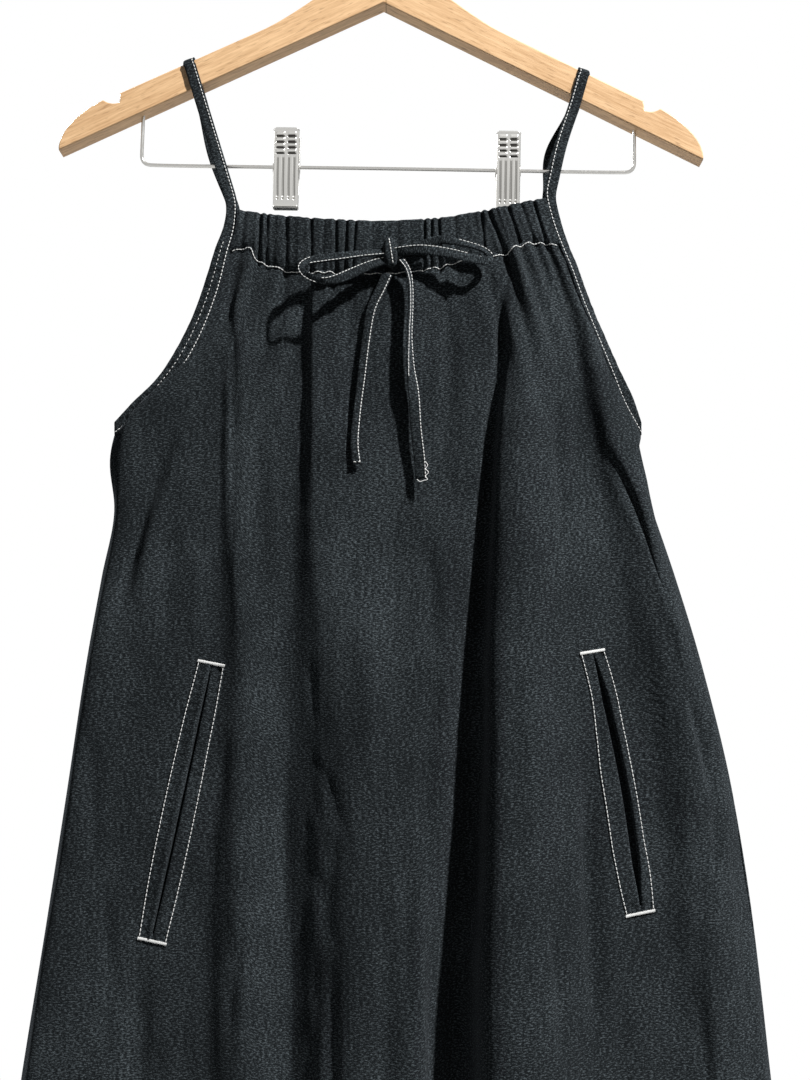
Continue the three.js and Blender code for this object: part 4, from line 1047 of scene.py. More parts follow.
def casing_piece(panel):
    share = np.linspace(0, 1, CASING_COLUMNS + 1)
    foot, out = panel.foot(share), panel.casing_out(share)
    crown = panel.top(share) - CASING_THICK / 2
    sewn = panel.on(x_at(share, foot), foot)[0][:, 1] * panel.facing
    turns = np.radians(np.linspace(0, 180, 11))
    roll = [(1, CASING_ROLL * math.cos(a), CASING_ROLL * math.sin(a)) for a in turns]
    profile = [(up, away, 0) for up, away in OUTSIDE] + roll + [(up, away, 0) for up, away in INSIDE]
    deeper, narrower = PINCH
    ridge, aside, half_ridge = RIDGES
    rows = []
    for up, away, rise in profile:
        z = foot + (crown - foot) * up + rise
        x = x_at(share, z) + CASING_END_GAP * (1 - 2 * share)
        sink = np.zeros_like(x)
        for top_x, foot_x, deep, half, _ in GATHERS[panel.side]:
            distance = x - foot_x - (top_x - foot_x) * up
            sink += deeper * deep * hill(distance, half * narrower)
            sink -= ridge * deep * hill(np.abs(distance) / half - aside, half_ridge)
        tight = 0.75 + 0.35 * abs(2 * up - 1)
        side = away / CASING_ROLL if rise else math.copysign(1, away)
        move = away - sink * tight * (max(side, 0) - 0.3 * max(-side, 0))
        blend = smooth_step(up / 0.09) if away >= 0 else 1.0
        y = sewn * (1 - blend) + (out + move) * blend
        z = z - sink * 0.3 * (rise / CASING_ROLL)
        rows.append(np.stack([x, panel.facing * y, z], axis=1))
    points = np.stack(rows + [rows[0]])
    lively = np.array([min(up / 0.1, 1) if away > 0.4 else 0.0 for up, away, _ in profile] + [0.0])
    for size, depth, seed in (((5, 40, 26), 0.55, 4), ((12, 40, 12), 0.5, 5)):
        points[..., 1] += panel.facing * lively[:, None] * ripple(points, size, depth, seed)
    return surface(f"neck_{panel.side}", points, denim, caps=True)


def casing_seam(panel):
    """The wavering line of the casing's stitching, a little above its foot."""
    share = np.linspace(0.012, 0.988, 300)
    z = panel.foot(share) + 0.3
    x = x_at(share, z)
    for _, foot_x, deep, half, _ in GATHERS[panel.side]:
        z = z - 0.55 * deep * hill(x - foot_x, half)
    z = z + 0.45 * np.sin(x / 1.9 + np.sin(x / 7) * 2)
    return panel.on(x, z, 0.35)


casings, casing_rows = [], []
for panel in (FRONT, BACK):
    casings.append(casing_piece(panel))
    casing_rows.append(stitches(f"neck_stitches_{panel.side}", *casing_seam(panel), pitch=2.3, thick=0.7))
print("casings", [piece.name for piece in casings])

# %% [markdown]
# ## Armhole bands and shoulder straps
# One long bias strip, folded in four, binds the front of an armhole, goes over the hanger as the
# shoulder strap and binds the back of the same armhole. It is built in the same way: its two edges
# run from the front underarm over the hanger's arm to the back underarm, and a closed section follows.

# %% The path of a strip
BAND_THICK = 2.6
STRAP_WIDTH = 7
STRAP_THICK = 2
STRAP_REST = {"left": -133.4, "right": 138.8}  # x at which a strap lies on the wood
STRAP_SWAY = {"left": (0.0, -3.0), "right": (-1.5, -7.0)}  # in front and behind
STRAP_CLEAR = 0.5
STRIP_STEPS = 430
BAND_STEPS = 70
STRAP_STEPS = 44
NECK_CORNER_Z = -244  # where a strap leaves its band
WOOD_THICK = 14
WOOD_EDGE = 2.5
WOOD_SLOPE = 0.492
HANGER_TILT = 0.0162  # radians
NECK = (-85, -122)  # where the arm's straight top begins


def wood_top(x):
    return NECK[1] - (abs(x) + NECK[0]) * WOOD_SLOPE


def tilted(x, z):
    """A place on the level hanger as it hangs, turned a little about the hook."""
    cos, sin = math.cos(HANGER_TILT), math.sin(HANGER_TILT)
    return x * cos + z * sin, z * cos - x * sin


def band_edges(side, facing):
    """The sewn edge and the free edge of one armhole band, from the neck to the underarm."""
    order = np.arange(len(ARMHOLES[side]))
    t = np.linspace(0, order[-1], BAND_STEPS)
    x0, z0, out0, x1, z1, out1 = (smooth_curve(order, armhole_column(side, name))(t)
                                  for name in ARMHOLE_COLUMNS)
    inner = np.stack([x0, facing * (out0 + 0.3), z0], axis=1)
    outer = np.stack([x1, facing * out1, z1], axis=1)
    return inner, outer


def strap_edges(side, facing, sway):
    """The strap's edges from the neck corner up to the crown of the hanger's arm, on one side."""
    inner_x, inner_z, inner_out, outer_x, outer_z, _ = ARMHOLES[side][0]
    foot = np.array([(inner_x + outer_x) / 2, (inner_z + outer_z) / 2])
    rest = STRAP_REST[side]
    rest_x, rest_z = tilted(rest, wood_top(rest))
    round_over = WOOD_EDGE + STRAP_CLEAR + STRAP_THICK / 2
    flat = WOOD_THICK / 2 - WOOD_EDGE
    crown = rest_z + 0.6
    fall = unit(np.array([[rest_z - foot[1], foot[0] - rest_x]]))[0]
    slope = unit(np.array([[1, math.copysign(WOOD_SLOPE, -rest)]]))[0]
    out_of_neck = -1 if side == "left" else 1
    middle, aside = [], []
    for z in np.linspace(foot[1] + 2.5, crown - WOOD_EDGE - 1, STRAP_STEPS):
        up = (z - foot[1]) / (rest_z - foot[1])
        low = np.clip((z - foot[1]) / (crown - 24 - foot[1]), 0, 1)
        out = inner_out + (flat + round_over - inner_out) * low
        bend = sway * math.sin(math.pi * min(up * 1.25, 1)) ** 2
        middle.append((foot[0] + (rest_x - foot[0]) * up + bend, facing * out, z))
        aside.append((fall[0], 0, fall[1]))
    for angle in np.radians(np.linspace(0, 90, 9)):
        out = flat + round_over * math.cos(angle)
        middle.append((rest_x, facing * out, crown - WOOD_EDGE + round_over * math.sin(angle)))
        turn = angle / (math.pi / 2)
        mixed = fall * np.sign(fall[0]) * (1 - turn) + slope * turn
        aside.append((mixed[0], 0, mixed[1]))
    middle, aside = np.array(middle), unit(np.array(aside))
    aside *= np.sign(aside[:, :1]) * out_of_neck * STRAP_WIDTH / 2
    return middle - aside, middle + aside


def strip_path(side):
    """Both edges of the whole strip, from the front underarm over the hanger to the back one."""
    halves = []
    for facing, sway in zip((-1, 1), STRAP_SWAY[side]):
        band, strap = band_edges(side, facing), strap_edges(side, facing, sway)
        halves.append([np.vstack([band[k][::-1], strap[k]]) for k in (0, 1)])
    edges_of = [np.vstack([halves[0][k], halves[1][k][::-1][1:]]) for k in (0, 1)]
    both = even(np.hstack(edges_of), STRIP_STEPS)
    for _ in range(14):
        near_neck = hill(both[1:-1, 2:3] - NECK_CORNER_Z, 16)
        both[1:-1] += near_neck * (both[:-2] / 2 + both[2:] / 2 - both[1:-1]) * 0.9
    return both[:, :3], both[:, 3:]


# %% [markdown]
# The section is thick and puckered where it binds the cloth and thin where it is a strap. A row of
# white stitches follows its sewn edge all the way, and the wider left band has a second, finer row.

# %% Strips
BOUND_FROM, BOUND_RUN = -238, 20  # below this height, and within this run, the strap becomes a band
PUCKER_EVERY = 6.2
SECOND_ROW_Z = (-372, -272)


class Strip:
    """A strip's two edges, its middle, and at each step its side and its face."""

    def __init__(self, side):
        self.inner, self.outer = strip_path(side)
        self.middle = (self.inner + self.outer) / 2
        self.aside = unit(self.outer - self.inner)
        face = unit(np.cross(self.aside, unit(np.gradient(self.middle, axis=0))))
        _, y, z = self.middle.T
        over_wood = (np.abs(y) < WOOD_THICK / 2 - 0.5) & (z > -200)
        self.face = face * np.where(over_wood, np.sign(face[:, 2]), np.sign(face[:, 1] * y))[:, None]
        self.bound = smooth_step((BOUND_FROM - z) / BOUND_RUN)[:, None]
        self.thick = STRAP_THICK + (BAND_THICK - STRAP_THICK) * self.bound

    def piece(self, name):
        width = np.linalg.norm(self.outer - self.inner, axis=1) + 1.0
        middle = self.middle - self.aside * 0.5
        grid = section_points(middle, self.aside, self.face, width, self.thick[:, 0], 30, 3.4)
        away = grid - self.middle[:, None]
        across = np.einsum("rck,rk->rc", away, self.aside) / (width / 2)[:, None]
        front = np.einsum("rck,rk->rc", away, self.face) > 0
        run = length_along(self.middle)[:, None]
        waver = ripple(grid, (16, 16, 16), 1.0, 6)
        pucker = np.sin(run / PUCKER_EVERY * math.tau + across * 1.6 + waver * 5) * (1 - across**2)
        dent = -0.28 * hill(across + 0.72, 0.16) - 0.22 * hill(across - 0.12, 0.14)
        lift = (pucker * 0.26 + dent) * self.bound - 0.2 * hill(across + 0.62, 0.2) * (1 - self.bound)
        lift = lift * front + ripple(grid, (7, 7, 7), 0.35, 7)
        return surface(name, grid + self.face[:, None, :] * lift[..., None], denim, caps=True)

    def line(self, share_across, pick=slice(None)):
        """A line along the strip, 0 at its sewn edge and 1 at its free edge, and its normals."""
        across = self.inner + (self.outer - self.inner) * share_across
        return (across + self.face * (self.thick / 2 - 0.12))[pick], self.face[pick]


strips, strip_rows = [], []
for side in ("left", "right"):
    strip = Strip(side)
    strips.append(strip.piece(f"{side}_strap_and_bands"))
    strip_rows.append(stitches(f"{side}_strap_stitches", *strip.line(0.07), pitch=2.6, length=2.2,
                               thick=0.7))
    if side == "left":
        for half, facing in (("front", -1), ("back", 1)):
            _, y, z = strip.middle.T
            low = (z < SECOND_ROW_Z[1]) & (z > SECOND_ROW_Z[0]) & (y * facing > 0)
            strip_rows.append(stitches(f"{side}_{half}_outer_stitches", *strip.line(0.55, low),
                                       pitch=3.0, length=1.9, thick=0.5))
    print(strips[-1].name, "length", round(length_along(strip.middle)[-1]), "mm")

# %% [markdown]
# ## Welt pockets
# A welt pocket is a slit whose edges are two folded strips, the lips. They are sewn round with one row
# of stitches and closed at each end by a bar tack, a dense zigzag. Each lip here is a strip of cloth
# that lies on the panel and rolls over into the slit.

# %% Pocket lips
# Its section from the slit outwards: share of its reach, and height above the panel.
LIP_PROFILE = [
    (0.0, -2.6), (0.01, -1.2), (0.03, 0.1), (0.07, 0.8), (0.13, 1.15), (0.22, 1.25), (0.34, 1.1),
    (0.5, 0.85), (0.65, 0.7), (0.78, 0.62), (0.88, 0.58), (0.95, 0.5), (0.985, 0.3), (1.0, -0.5),
]
LIP_STEPS = 150
ROLL = {  # how much fuller than plain each lip's rolled edge is
    ("left", "outer"): 1.9, ("left", "inner"): 0.8,
    ("right", "outer"): 0.9, ("right", "inner"): 1.2,
}


def lip_reach(pocket, edge, along):
    """How far a lip reaches aside, with the sign that pocket_place takes."""
    toward = pocket["middle_is"] if edge == "inner" else -pocket["middle_is"]
    return toward, smooth_curve(pocket["along"], pocket[edge])(along)


def lip_piece(side, edge):
    pocket, full = POCKETS[side], ROLL[side, edge] - 1
    along = np.linspace(0, 1, LIP_STEPS + 1)
    from_end = np.minimum(along, 1 - along)
    toward, reach = lip_reach(pocket, edge, along)
    gap = pocket["gape"] / 2 * smooth_step(from_end / 0.22) + 0.15
    waver = np.sin(along * 17 + toward * 2) * 1.4
    columns = []
    for share, away in LIP_PROFILE:
        x, z = pocket_place(pocket, along, toward * (gap + (reach - gap) * share))
        points, normals = FRONT.on(x, z)
        raised = away * (1 + full * hill(share - 0.16, 0.14))
        raised = raised - 0.55 * (1 - smooth_step(from_end / 0.05)) * (away > 0.6)
        pucker = 0.32 * np.sin(along * 176 + waver + share * 2) * hill(share - 0.72, 0.22)
        columns.append(points + normals * (raised + pucker)[:, None])
    points = np.stack(columns, axis=1)
    points[..., 1] -= ripple(points, (7, 9, 12), 0.35, 8) * np.array([a > 0.4 for _, a in LIP_PROFILE])
    return surface(f"{side}_pocket_lip_{edge}", points, denim, turned=toward > 0)


def lip_stitches(side, edge):
    """The row of stitches just inside the outer side of a lip."""
    along = np.linspace(0, 1, 90)
    toward, reach = lip_reach(POCKETS[side], edge, along)
    line = FRONT.on(*pocket_place(POCKETS[side], along, toward * (reach - 0.9)), 0.62)
    return stitches(f"{side}_pocket_stitches_{edge}", *line, pitch=2.7, thick=0.66)


def bar_tack(side, end, along):
    """Dense short stitches across the end of a pocket."""
    pocket = POCKETS[side]
    ends = sorted(toward * reach for toward, reach in
                  (lip_reach(pocket, edge, along) for edge in ("outer", "inner")))
    x, z = pocket_place(pocket, along, np.linspace(*ends, 40))
    return stitches(f"{side}_pocket_bar_tack_{end}", *FRONT.on(x, z, 0.75), pitch=0.58, length=2.3,
                    thick=0.72, turn=78)


lips, pocket_rows = {}, []
for side in POCKETS:
    for edge in ("outer", "inner"):
        lips[side, edge] = lip_piece(side, edge)
        pocket_rows.append(lip_stitches(side, edge))
    for end, along in (("top", -0.006), ("foot", 1.006)):
        pocket_rows.append(bar_tack(side, end, along))
print("pocket pieces", len(lips) + len(pocket_rows))

# %% [markdown]
# ## Pocket bags
# Behind each slit hangs a flat bag of thinner cotton, sewn round its edge. Front and back layers are
# one closed form, with its mouth cut open where the slit is, and a wall gives it its thickness.

# %% Pocket bags
BAG = {"width": 84, "head": 14, "drop": 46, "outer": 8, "depth": 6, "cloth": 0.8, "far_out": 10.4}
BAG_BEHIND = CLOTH + 1.8  # from the panel's face to the bag's
BAG_ROWS, BAG_COLUMNS = 40, 26
BAG_PINCH = 2.2  # how much each layer comes in at the bag's sewn edge
MOUTH = (3, 2.6)  # half the width of its mouth, and how far back the cut reaches


def bag_piece(side):
    pocket = POCKETS[side]
    z = np.linspace(pocket["top"][1] + BAG["head"], pocket["foot"][1] - BAG["drop"], BAG_ROWS)[:, None]
    slit_x = pocket_place(pocket, np.clip(along_pocket(pocket, z), 0, 1), 0)[0]
    aside = np.linspace(-BAG["outer"], BAG["width"], BAG_COLUMNS)[None, :]
    x = slit_x + pocket["middle_is"] * aside
    behind_slit = -FRONT.on(slit_x, z)[0][..., 1] - BAG_BEHIND
    heights = np.broadcast_to(z, x.shape)
    here = -FRONT.on(x, heights)[0][..., 1] - BAG_BEHIND
    hung = smooth_step(aside / (BAG["width"] * 0.6))
    out = np.minimum(here, behind_slit * (1 - hung) + BAG["far_out"] * hung)
    down, over = (np.sin(np.linspace(0, math.pi, n)) ** 0.4 for n in (BAG_ROWS, BAG_COLUMNS))
    pinch = BAG_PINCH * (1 - down[:, None] * over[None, :])
    near = np.stack([x, -out + 0.2 + pinch, heights], axis=-1)
    far = np.stack([x, -out + BAG["depth"] - 0.4 - pinch, heights], axis=-1)
    far[..., 1] += ripple(far, (18, 18, 30), 0.9, 9)
    points = np.concatenate([near, far[:, ::-1], near[:, :1]], axis=1)

    def at_mouth(centre):
        along = along_pocket(pocket, centre.z)
        wide = abs(centre.x - pocket_place(pocket, along, 0)[0])
        line = np.interp(-centre.z, -z[:, 0], behind_slit[:, 0])
        return 0.05 < along < 0.95 and wide < MOUTH[0] and -centre.y > line - MOUTH[1]

    pouch = surface(f"{side}_pocket_pouch", points, denim_lining, caps=True, drop=at_mouth)
    return wall(pouch, BAG["cloth"])


denim_lining = denim_finish("black_pocketing", 0.8, 0.4)
bags = {side: bag_piece(side) for side in POCKETS}
print("pouches", [piece.name for piece in bags.values()])

# %% [markdown]
# ## The bow
# The string's two ends are tied in a bow. Each loop is a flat band that goes out, turns over and
# comes back under itself. The knot is a short wrap of the same band round the middle.

# %% Bow
BOW_LOOP_LEFT = [
    (0, -27, -285.5), (-13.2, -28, -286.8), (-25, -29, -288.5), (-39.4, -30, -290.6),
    (-50, -31, -292.9), (-54.6, -33, -296.8), (-53, -35.5, -301.8), (-47, -37, -306),
    (-38.8, -36, -307.6), (-29.6, -33.5, -305), (-21.8, -31, -301), (-13.9, -29, -296.7),
    (-6.7, -28, -293.5), (0, -27, -291.3),
]
BOW_LOOP_RIGHT = [
    (6, -27.5, -285), (15.8, -28, -284), (24, -28.5, -284), (33.5, -29, -285.2), (43, -30, -287.2),
    (52, -30.5, -289.5), (61, -29.5, -291.6), (67, -28, -291.6), (69.4, -26.8, -288.6),
    (66.5, -26, -284.6), (60.5, -25.6, -281.6), (51.4, -25.6, -279), (43, -25.8, -277.2), (36.5, -26, -276.6),
    (29.5, -26, -278.6), (22.5, -26, -281.6), (14.5, -26, -284), (6, -26, -285.5),
]
KNOT = {"x": 3.3, "z": -285.4, "out": 26.4, "wide": 9.6, "tall": 20.5, "deep": 8}
KNOT_LEAN = 0.6
# The loose threads at the right end, and the hem of the left one.
FRAY = [
    (26.4, -28.4, -426), (27.8, -28.8, -428.4), (26.4, -28.6, -430.6), (28.3, -28.8, -433),
    (26.3, -28.6, -435.4), (27.6, -28.8, -437.6), (25, -28.4, -438.3), (22.6, -28.4, -439),
    (21, -28.2, -437.6),
]
LEFT_END = [(-21, -25.6, -425.4), (-18, -25.8, -425.8), (-15.2, -25.6, -425)]

loop_left = string("bow_left", BOW_LOOP_LEFT, 150, turn=(30, 25, 15, 10, 20, 30, 10, -15, -20),
                   width=(0.8, 0.85, 0.9, 0.85, 0.6, 0.65, 1, 1, 0.85))
loop_right = string("bow_right", BOW_LOOP_RIGHT, 170, turn=(25, 10, -10, -10, 5, 30, 10, -15, -10, 0),
                    width=(0.8, 0.95, 1, 0.95, 0.6, 0.6, 0.8, 0.95, 0.9))


def knot_piece():
    """A wrap of the band: a closed loop round a flattened tube, puffed between its creases."""
    turns = np.linspace(0, math.tau, 57)
    cos, sin = np.cos(turns), np.sin(turns)
    rows = []
    for up in np.linspace(-1, 1, 41):
        girth = (1 - abs(up) ** 5) ** 0.5
        wide = KNOT["wide"] / 2 * (0.88 + 0.12 * math.cos(up * 2.4)) * girth
        x = KNOT["x"] + wide * np.sign(cos) * np.abs(cos) ** 0.6 - up * KNOT_LEAN
        crease = 0.9 * hill(cos - 0.35 - 0.2 * up, 0.16) * (sin < 0)
        y = -KNOT["out"] + (KNOT["deep"] / 2 * sin + crease) * girth
        rows.append(np.stack([x, y, np.full_like(x, KNOT["z"] + up * KNOT["tall"] / 2)], axis=1))
    points = np.stack(rows)
    points[..., 1] += ripple(points, (4, 4, 6), 0.5, 10)
    return surface("knot", points, denim, caps=True)


def front_stitches(name, line, **options):
    """Stitches along a line that faces the front."""
    return stitches(name, line, np.tile((0, -1.0, 0), (len(line), 1)), **options)


# %% [markdown]
# The bow's stitches show on whichever edge is turned to the front. The right end has lost its own
# stitches and frays into loose threads; the left one still has a few across it.

# %% Knot and stitches
knot = knot_piece()
up = np.linspace(0.86, -0.8, 24)
knot_out = KNOT["out"] + KNOT["deep"] / 2 * (1 - np.abs(up) ** 3.2) ** 0.55 + 0.1
knot_line = np.stack([KNOT["x"] + KNOT_LEAN - up * 1.6, -knot_out, KNOT["z"] + up * KNOT["tall"] / 2], axis=1)
knot_row = front_stitches("knot_stitches", knot_line, pitch=2.2, length=2.0, thick=0.75)
bow_rows = [
    edge_stitches(f"bow_{name}", loop, edge, part, pitch=2.4, length=2.2)
    for name, loop, edge, part in (
        ("left_stitches", loop_left, 0.72, (0, 0.42)), ("left_stitches_end", loop_left, -0.8, (0.4, 0.6)),
        ("left_stitches_low", loop_left, 0.8, (0.62, 1)), ("right_stitches", loop_right, 0.78, (0, 0.36)),
        ("right_stitches_end", loop_right, -0.8, (0.5, 0.68)),
    )
]
tail_rows = [
    edge_stitches("tail_left_stitches", tail_left, 0.74, pitch=2.3, length=2.1, thick=0.72),
    edge_stitches("tail_right_stitches", tail_right, 0.8, pitch=2.3, length=2.1, thick=0.7),
    edge_stitches("tail_right_stitches_left", tail_right, -0.8, (0, 0.55), pitch=2.3, thick=0.6),
    front_stitches("tail_right_fray", route(FRAY, 60), pitch=0.8, length=1.7, thick=0.5),
    front_stitches("tail_left_end_stitches", route(LEFT_END, 20), pitch=2.1, length=1.9, thick=0.7),
]
print("knot", KNOT["wide"], "by", KNOT["tall"], "mm,", len(bow_rows) + len(tail_rows), "rows of stitches")

# %% [markdown]
# ## The hanger's wood
# The two arms are sawn from a flat board. The outline is drawn once, as a few points and bends, made a
# face, extruded to the board's thickness and given small rounded edges with the bevel operator.

# %% Wood
WOOD_TOP_Z = -72
BOSS_HALF = 12  # half the flat top round the hook
APEX_Z = -100.2  # where the two lower edges meet
FOOT_SLOPE = 0.5  # of the lower edge, from the apex to the tip
TIP = (-219.6, -209.9)
NOTCH_X = -179.6
TILT = Matrix.Rotation(HANGER_TILT, 4, "Y")


def bezier(points, count):
    """Points along a Bezier curve, without its first."""
    points = [np.array(p, float) for p in points]
    made = []
    for t in np.linspace(0, 1, count + 1)[1:]:
        row = points
        while len(row) > 1:
            row = [a + (b - a) * t for a, b in zip(row, row[1:])]
        made.append(tuple(row[0]))
    return made


def wood_outline():
    half = [(0.0, APEX_Z), TIP]
    half += bezier([TIP, (-220.4, -208), (-219.4, -204)], 3)
    half += bezier([(-219.4, -204), (-216.5, -191.5), (-203.5, -180.5), (-190.8, -173.6)], 12)
    half += bezier([(-190.8, -173.6), (-188.6, -175.6), (-184.5, -176.6), (-181, -175.6)], 8)
    half += bezier([(-181, -175.6), (NOTCH_X, -175), (NOTCH_X, -173)], 4)
    half += [(NOTCH_X, wood_top(NOTCH_X)), NECK]
    half += bezier([NECK, (-62, -111), (-38, -88), (-BOSS_HALF, WOOD_TOP_Z - 1)], 14)
    return half + [(-x, z) for x, z in half[:0:-1]]


def wood_piece():
    bm = bmesh.new()
    corners = [bm.verts.new((x * MM, -WOOD_THICK / 2 * MM, z * MM)) for x, z in wood_outline()]
    front = bm.faces.new(corners)
    grown = bmesh.ops.extrude_face_region(bm, geom=[front])
    moved = [v for v in grown["geom"] if isinstance(v, bmesh.types.BMVert)]
    bmesh.ops.translate(bm, verts=moved, vec=(0, WOOD_THICK * MM, 0))
    bmesh.ops.recalc_face_normals(bm, faces=bm.faces[:])
    rim = [e for e in bm.edges if abs(e.verts[0].co.y - e.verts[1].co.y) < 1e-6]
    bmesh.ops.bevel(bm, geom=rim, offset=1.0 * MM, segments=3, profile=0.5, affect="EDGES", material=-1,
                    clamp_overlap=True)
    bmesh.ops.transform(bm, matrix=TILT, verts=bm.verts[:])
    piece = made_piece("arms", bm, wood)
    piece.modifiers.new("flat faces", "WEIGHTED_NORMAL").keep_sharp = False
    return piece


arms = wood_piece()
print("arms", len(arms.data.polygons), "faces")

# %% [markdown]
# ## Hook and bar
# Both are bent from round nickel-plated wire. The hook's route is an arc over the rail, a smaller one
# back under it and a straight shank; the bar's is a shallow U whose legs stand in the wood.

# %% Hook and bar
HOOK_WIRE = 4
HOOK_BEND = 21  # radius at the middle of the wire
BAR_WIRE = 2.4
BAR_Z = -217
BAR_REACH = 169  # from the bar's middle to each leg
BAR_SHIFT = 4.8  # of the bar to the right
BAR_BEND = 7
BLUNT = 0.05  # thickness left at a wire's very end


def wire_piece(name, points, across, steps):
    """Round wire along a route in the plane of the hanger, its ends rounded off."""
    x, y, z = route([(x, 0, z) for x, z in points], steps).T
    x, z = tilted(x, z)
    middle = np.stack([x, y, z], axis=1)
    face = np.tile((0, -1.0, 0), (len(middle), 1))
    side = unit(np.cross(face, np.gradient(middle, axis=0)))
    run = length_along(middle)
    near_end = np.minimum(run, run[-1] - run) / (across / 2)
    thick = np.maximum(np.sqrt(1 - (1 - np.clip(near_end, 0, 1)) ** 2) * across, BLUNT)
    return surface(name, section_points(middle, side, face, thick, thick, 20, 2), nickel, caps=True)


def arc(centre_x, centre_z, radius, start, end, count):
    angles = np.radians(np.linspace(start, end, count + 1))
    return [(centre_x + radius * math.cos(a), centre_z + radius * math.sin(a)) for a in angles]


hook_z = HOOK_WIRE / 2 - HOOK_BEND
low_z = hook_z - 2 * HOOK_BEND * math.sin(math.pi / 3)
hook_route = arc(0, hook_z, HOOK_BEND, -35, 229, 21) + arc(-HOOK_BEND, low_z, HOOK_BEND, 60, 0, 6)
hook_route += [(0, (low_z + APEX_Z) / 2), (0, APEX_Z + 3)]
hook = wire_piece("hook_wire", hook_route, HOOK_WIRE, 220)


def bar_half(side):
    leg = BAR_SHIFT + side * BAR_REACH
    head = APEX_Z - abs(leg) * FOOT_SLOPE + 8
    turn = bezier([(leg, BAR_Z + BAR_BEND), (leg, BAR_Z), (leg - side * BAR_BEND, BAR_Z)], 6)
    return [(leg, head), (leg, (head + BAR_Z) / 2), (leg, BAR_Z + BAR_BEND)] + turn


bar_route = bar_half(-1) + [(BAR_SHIFT, BAR_Z)] + bar_half(1)[::-1]
bar = wire_piece("bar_wire", bar_route, BAR_WIRE, 300)
print("hook", len(hook.data.vertices), "and bar", len(bar.data.vertices), "corners")

# %% [markdown]
# ## Clips
# Each clip is two jaws pressed from sheet and a coil spring round the bar. The jaw is a grid whose
# height carries the pressing: two columns of finger ribs with a slot under each, four long grooves
# with a small hole at each foot, and a lip that turns out at the end.

# %% Clip jaws
CLIPS = {"left": (-64.6, 17.5), "right": (87.1, 16.5)}  # x of its middle, and width
JAW_Z = (25, 8, -6, -23, -28, -29)
JAW_OUT = (7, 5.4, 4.4, 1.8, 1.0, 3.2)
PLATE = 0.8
RIB_Z = (19.6, 15.6, 11.7, 7.7)
RIB_X = 0.225  # of the clip's width, from its middle
GROOVE_X = (-0.325, -0.11, 0.11, 0.325)
GROOVE_Z, GROOVE_HALF = -8.2, 13.2
HOLE_Z = -23.0
LIP_OUT = 2.2  # how far the lip turns out for each millimetre down
PLATE_COLOUR = rgb(0.68, 0.67, 0.64)
PLATE_ROUGH = 0.26


def bump(x, middle, half, soft):
    """1 within half of the middle and 0 beyond, over a soft edge."""
    return 1 - smooth_step((np.abs(x - middle) - half) / soft)


def pressing(x, z, width):
    """How far a jaw's ribs, slots, grooves and holes stand out of its plate."""
    height = np.zeros_like(x)
    for level in RIB_Z:
        for column in (-RIB_X, RIB_X):
            across = bump(x, column * width, width * 0.14, 0.7)
            height += 0.75 * across * bump(z, level + 1.35, 0.55, 0.9)
            height -= 1.3 * across * bump(z, level, 0.35, 0.4)
    for place in GROOVE_X:
        height -= 0.75 * bump(x, place * width, 0.35, 0.75) * bump(z, GROOVE_Z, GROOVE_HALF, 1.2)
        height -= 1.5 * bump(np.hypot(x - place * width, z - HOLE_Z), 0, 0.35, 0.5)
    rim = smooth_step((np.abs(x) - width / 2 + 1.0) / 1.0)
    return height - 1.6 * rim**2 + 0.5 * bump(z, 24.6, 0.5, 0.7)


def nickel_with_painted_shade(name, middle_x, width):
    """Pressed plate, with painted shade in its slots and grooves, where the light doesn't reach."""
    plate = Finish(name, Metallic=1.0, Roughness=PLATE_ROUGH)
    x, _, z = plate.split(plate.place("Object"))
    jaw_x, jaw_z = tilted(middle_x, BAR_Z)
    x, z = x - jaw_x * MM, z - jaw_z * MM

    def within(distance, most, least):
        """1 where a distance in millimetres is less than the least, 0 beyond the most."""
        return distance.size().between(most * MM, least * MM)

    column = within(x.size() - RIB_X * width * MM, 0.17 * width, 0.12 * width)
    slots = within(z - RIB_Z[0] * MM, 1.0, 0.5)
    for level in RIB_Z[1:]:
        slots = slots + within(z - level * MM, 1.0, 0.5)
    inner, outer = GROOVE_X[2:]
    grooves = (x.size() - (inner + outer) / 2 * width * MM).size() - (outer - inner) / 2 * width * MM
    grooves = within(grooves, 0.9, 0.3) * within(z - GROOVE_Z * MM, 13.6, 12.6)
    # Painted shade: the slots and grooves are painted near-black, as the shade inside them.
    dark = slots * column * 0.9 + grooves * 0.55
    plate.feed(Base_Color=plate.blend(dark, PLATE_COLOUR, rgb(0.035, 0.03, 0.026)))
    return plate.material


def clip_surface(name, middle_x, x, y, z, finish, **options):
    """A surface given from the clip's place on the bar, tilted with the hanger."""
    x, z = tilted(middle_x + x, BAR_Z + z)
    return surface(name, np.stack([x, y, z], axis=-1), finish, **options)


def jaw_piece(name, middle_x, width, facing, finish):
    top, lip_z, foot = JAW_Z[0], JAW_Z[-2], JAW_Z[-1]
    heights = np.concatenate([np.linspace(top, -22, 95), np.linspace(-22.4, foot, 22)])
    x, z = np.broadcast_arrays(np.linspace(-width / 2, width / 2, 67)[None, :], heights[:, None])
    out = smooth_curve(JAW_Z, JAW_OUT)(z)
    out = np.where(z < lip_z, JAW_OUT[-2] + (lip_z - z) * LIP_OUT, out) + PLATE
    corner = 1.4 * (1 - smooth_step((top - z) / 1.6)) * smooth_step((np.abs(x) - width / 2 + 2.2) / 2.2)
    return clip_surface(name, middle_x, x, facing * (out + pressing(x, z, width)), z - corner, finish,
                        turned=facing < 0)


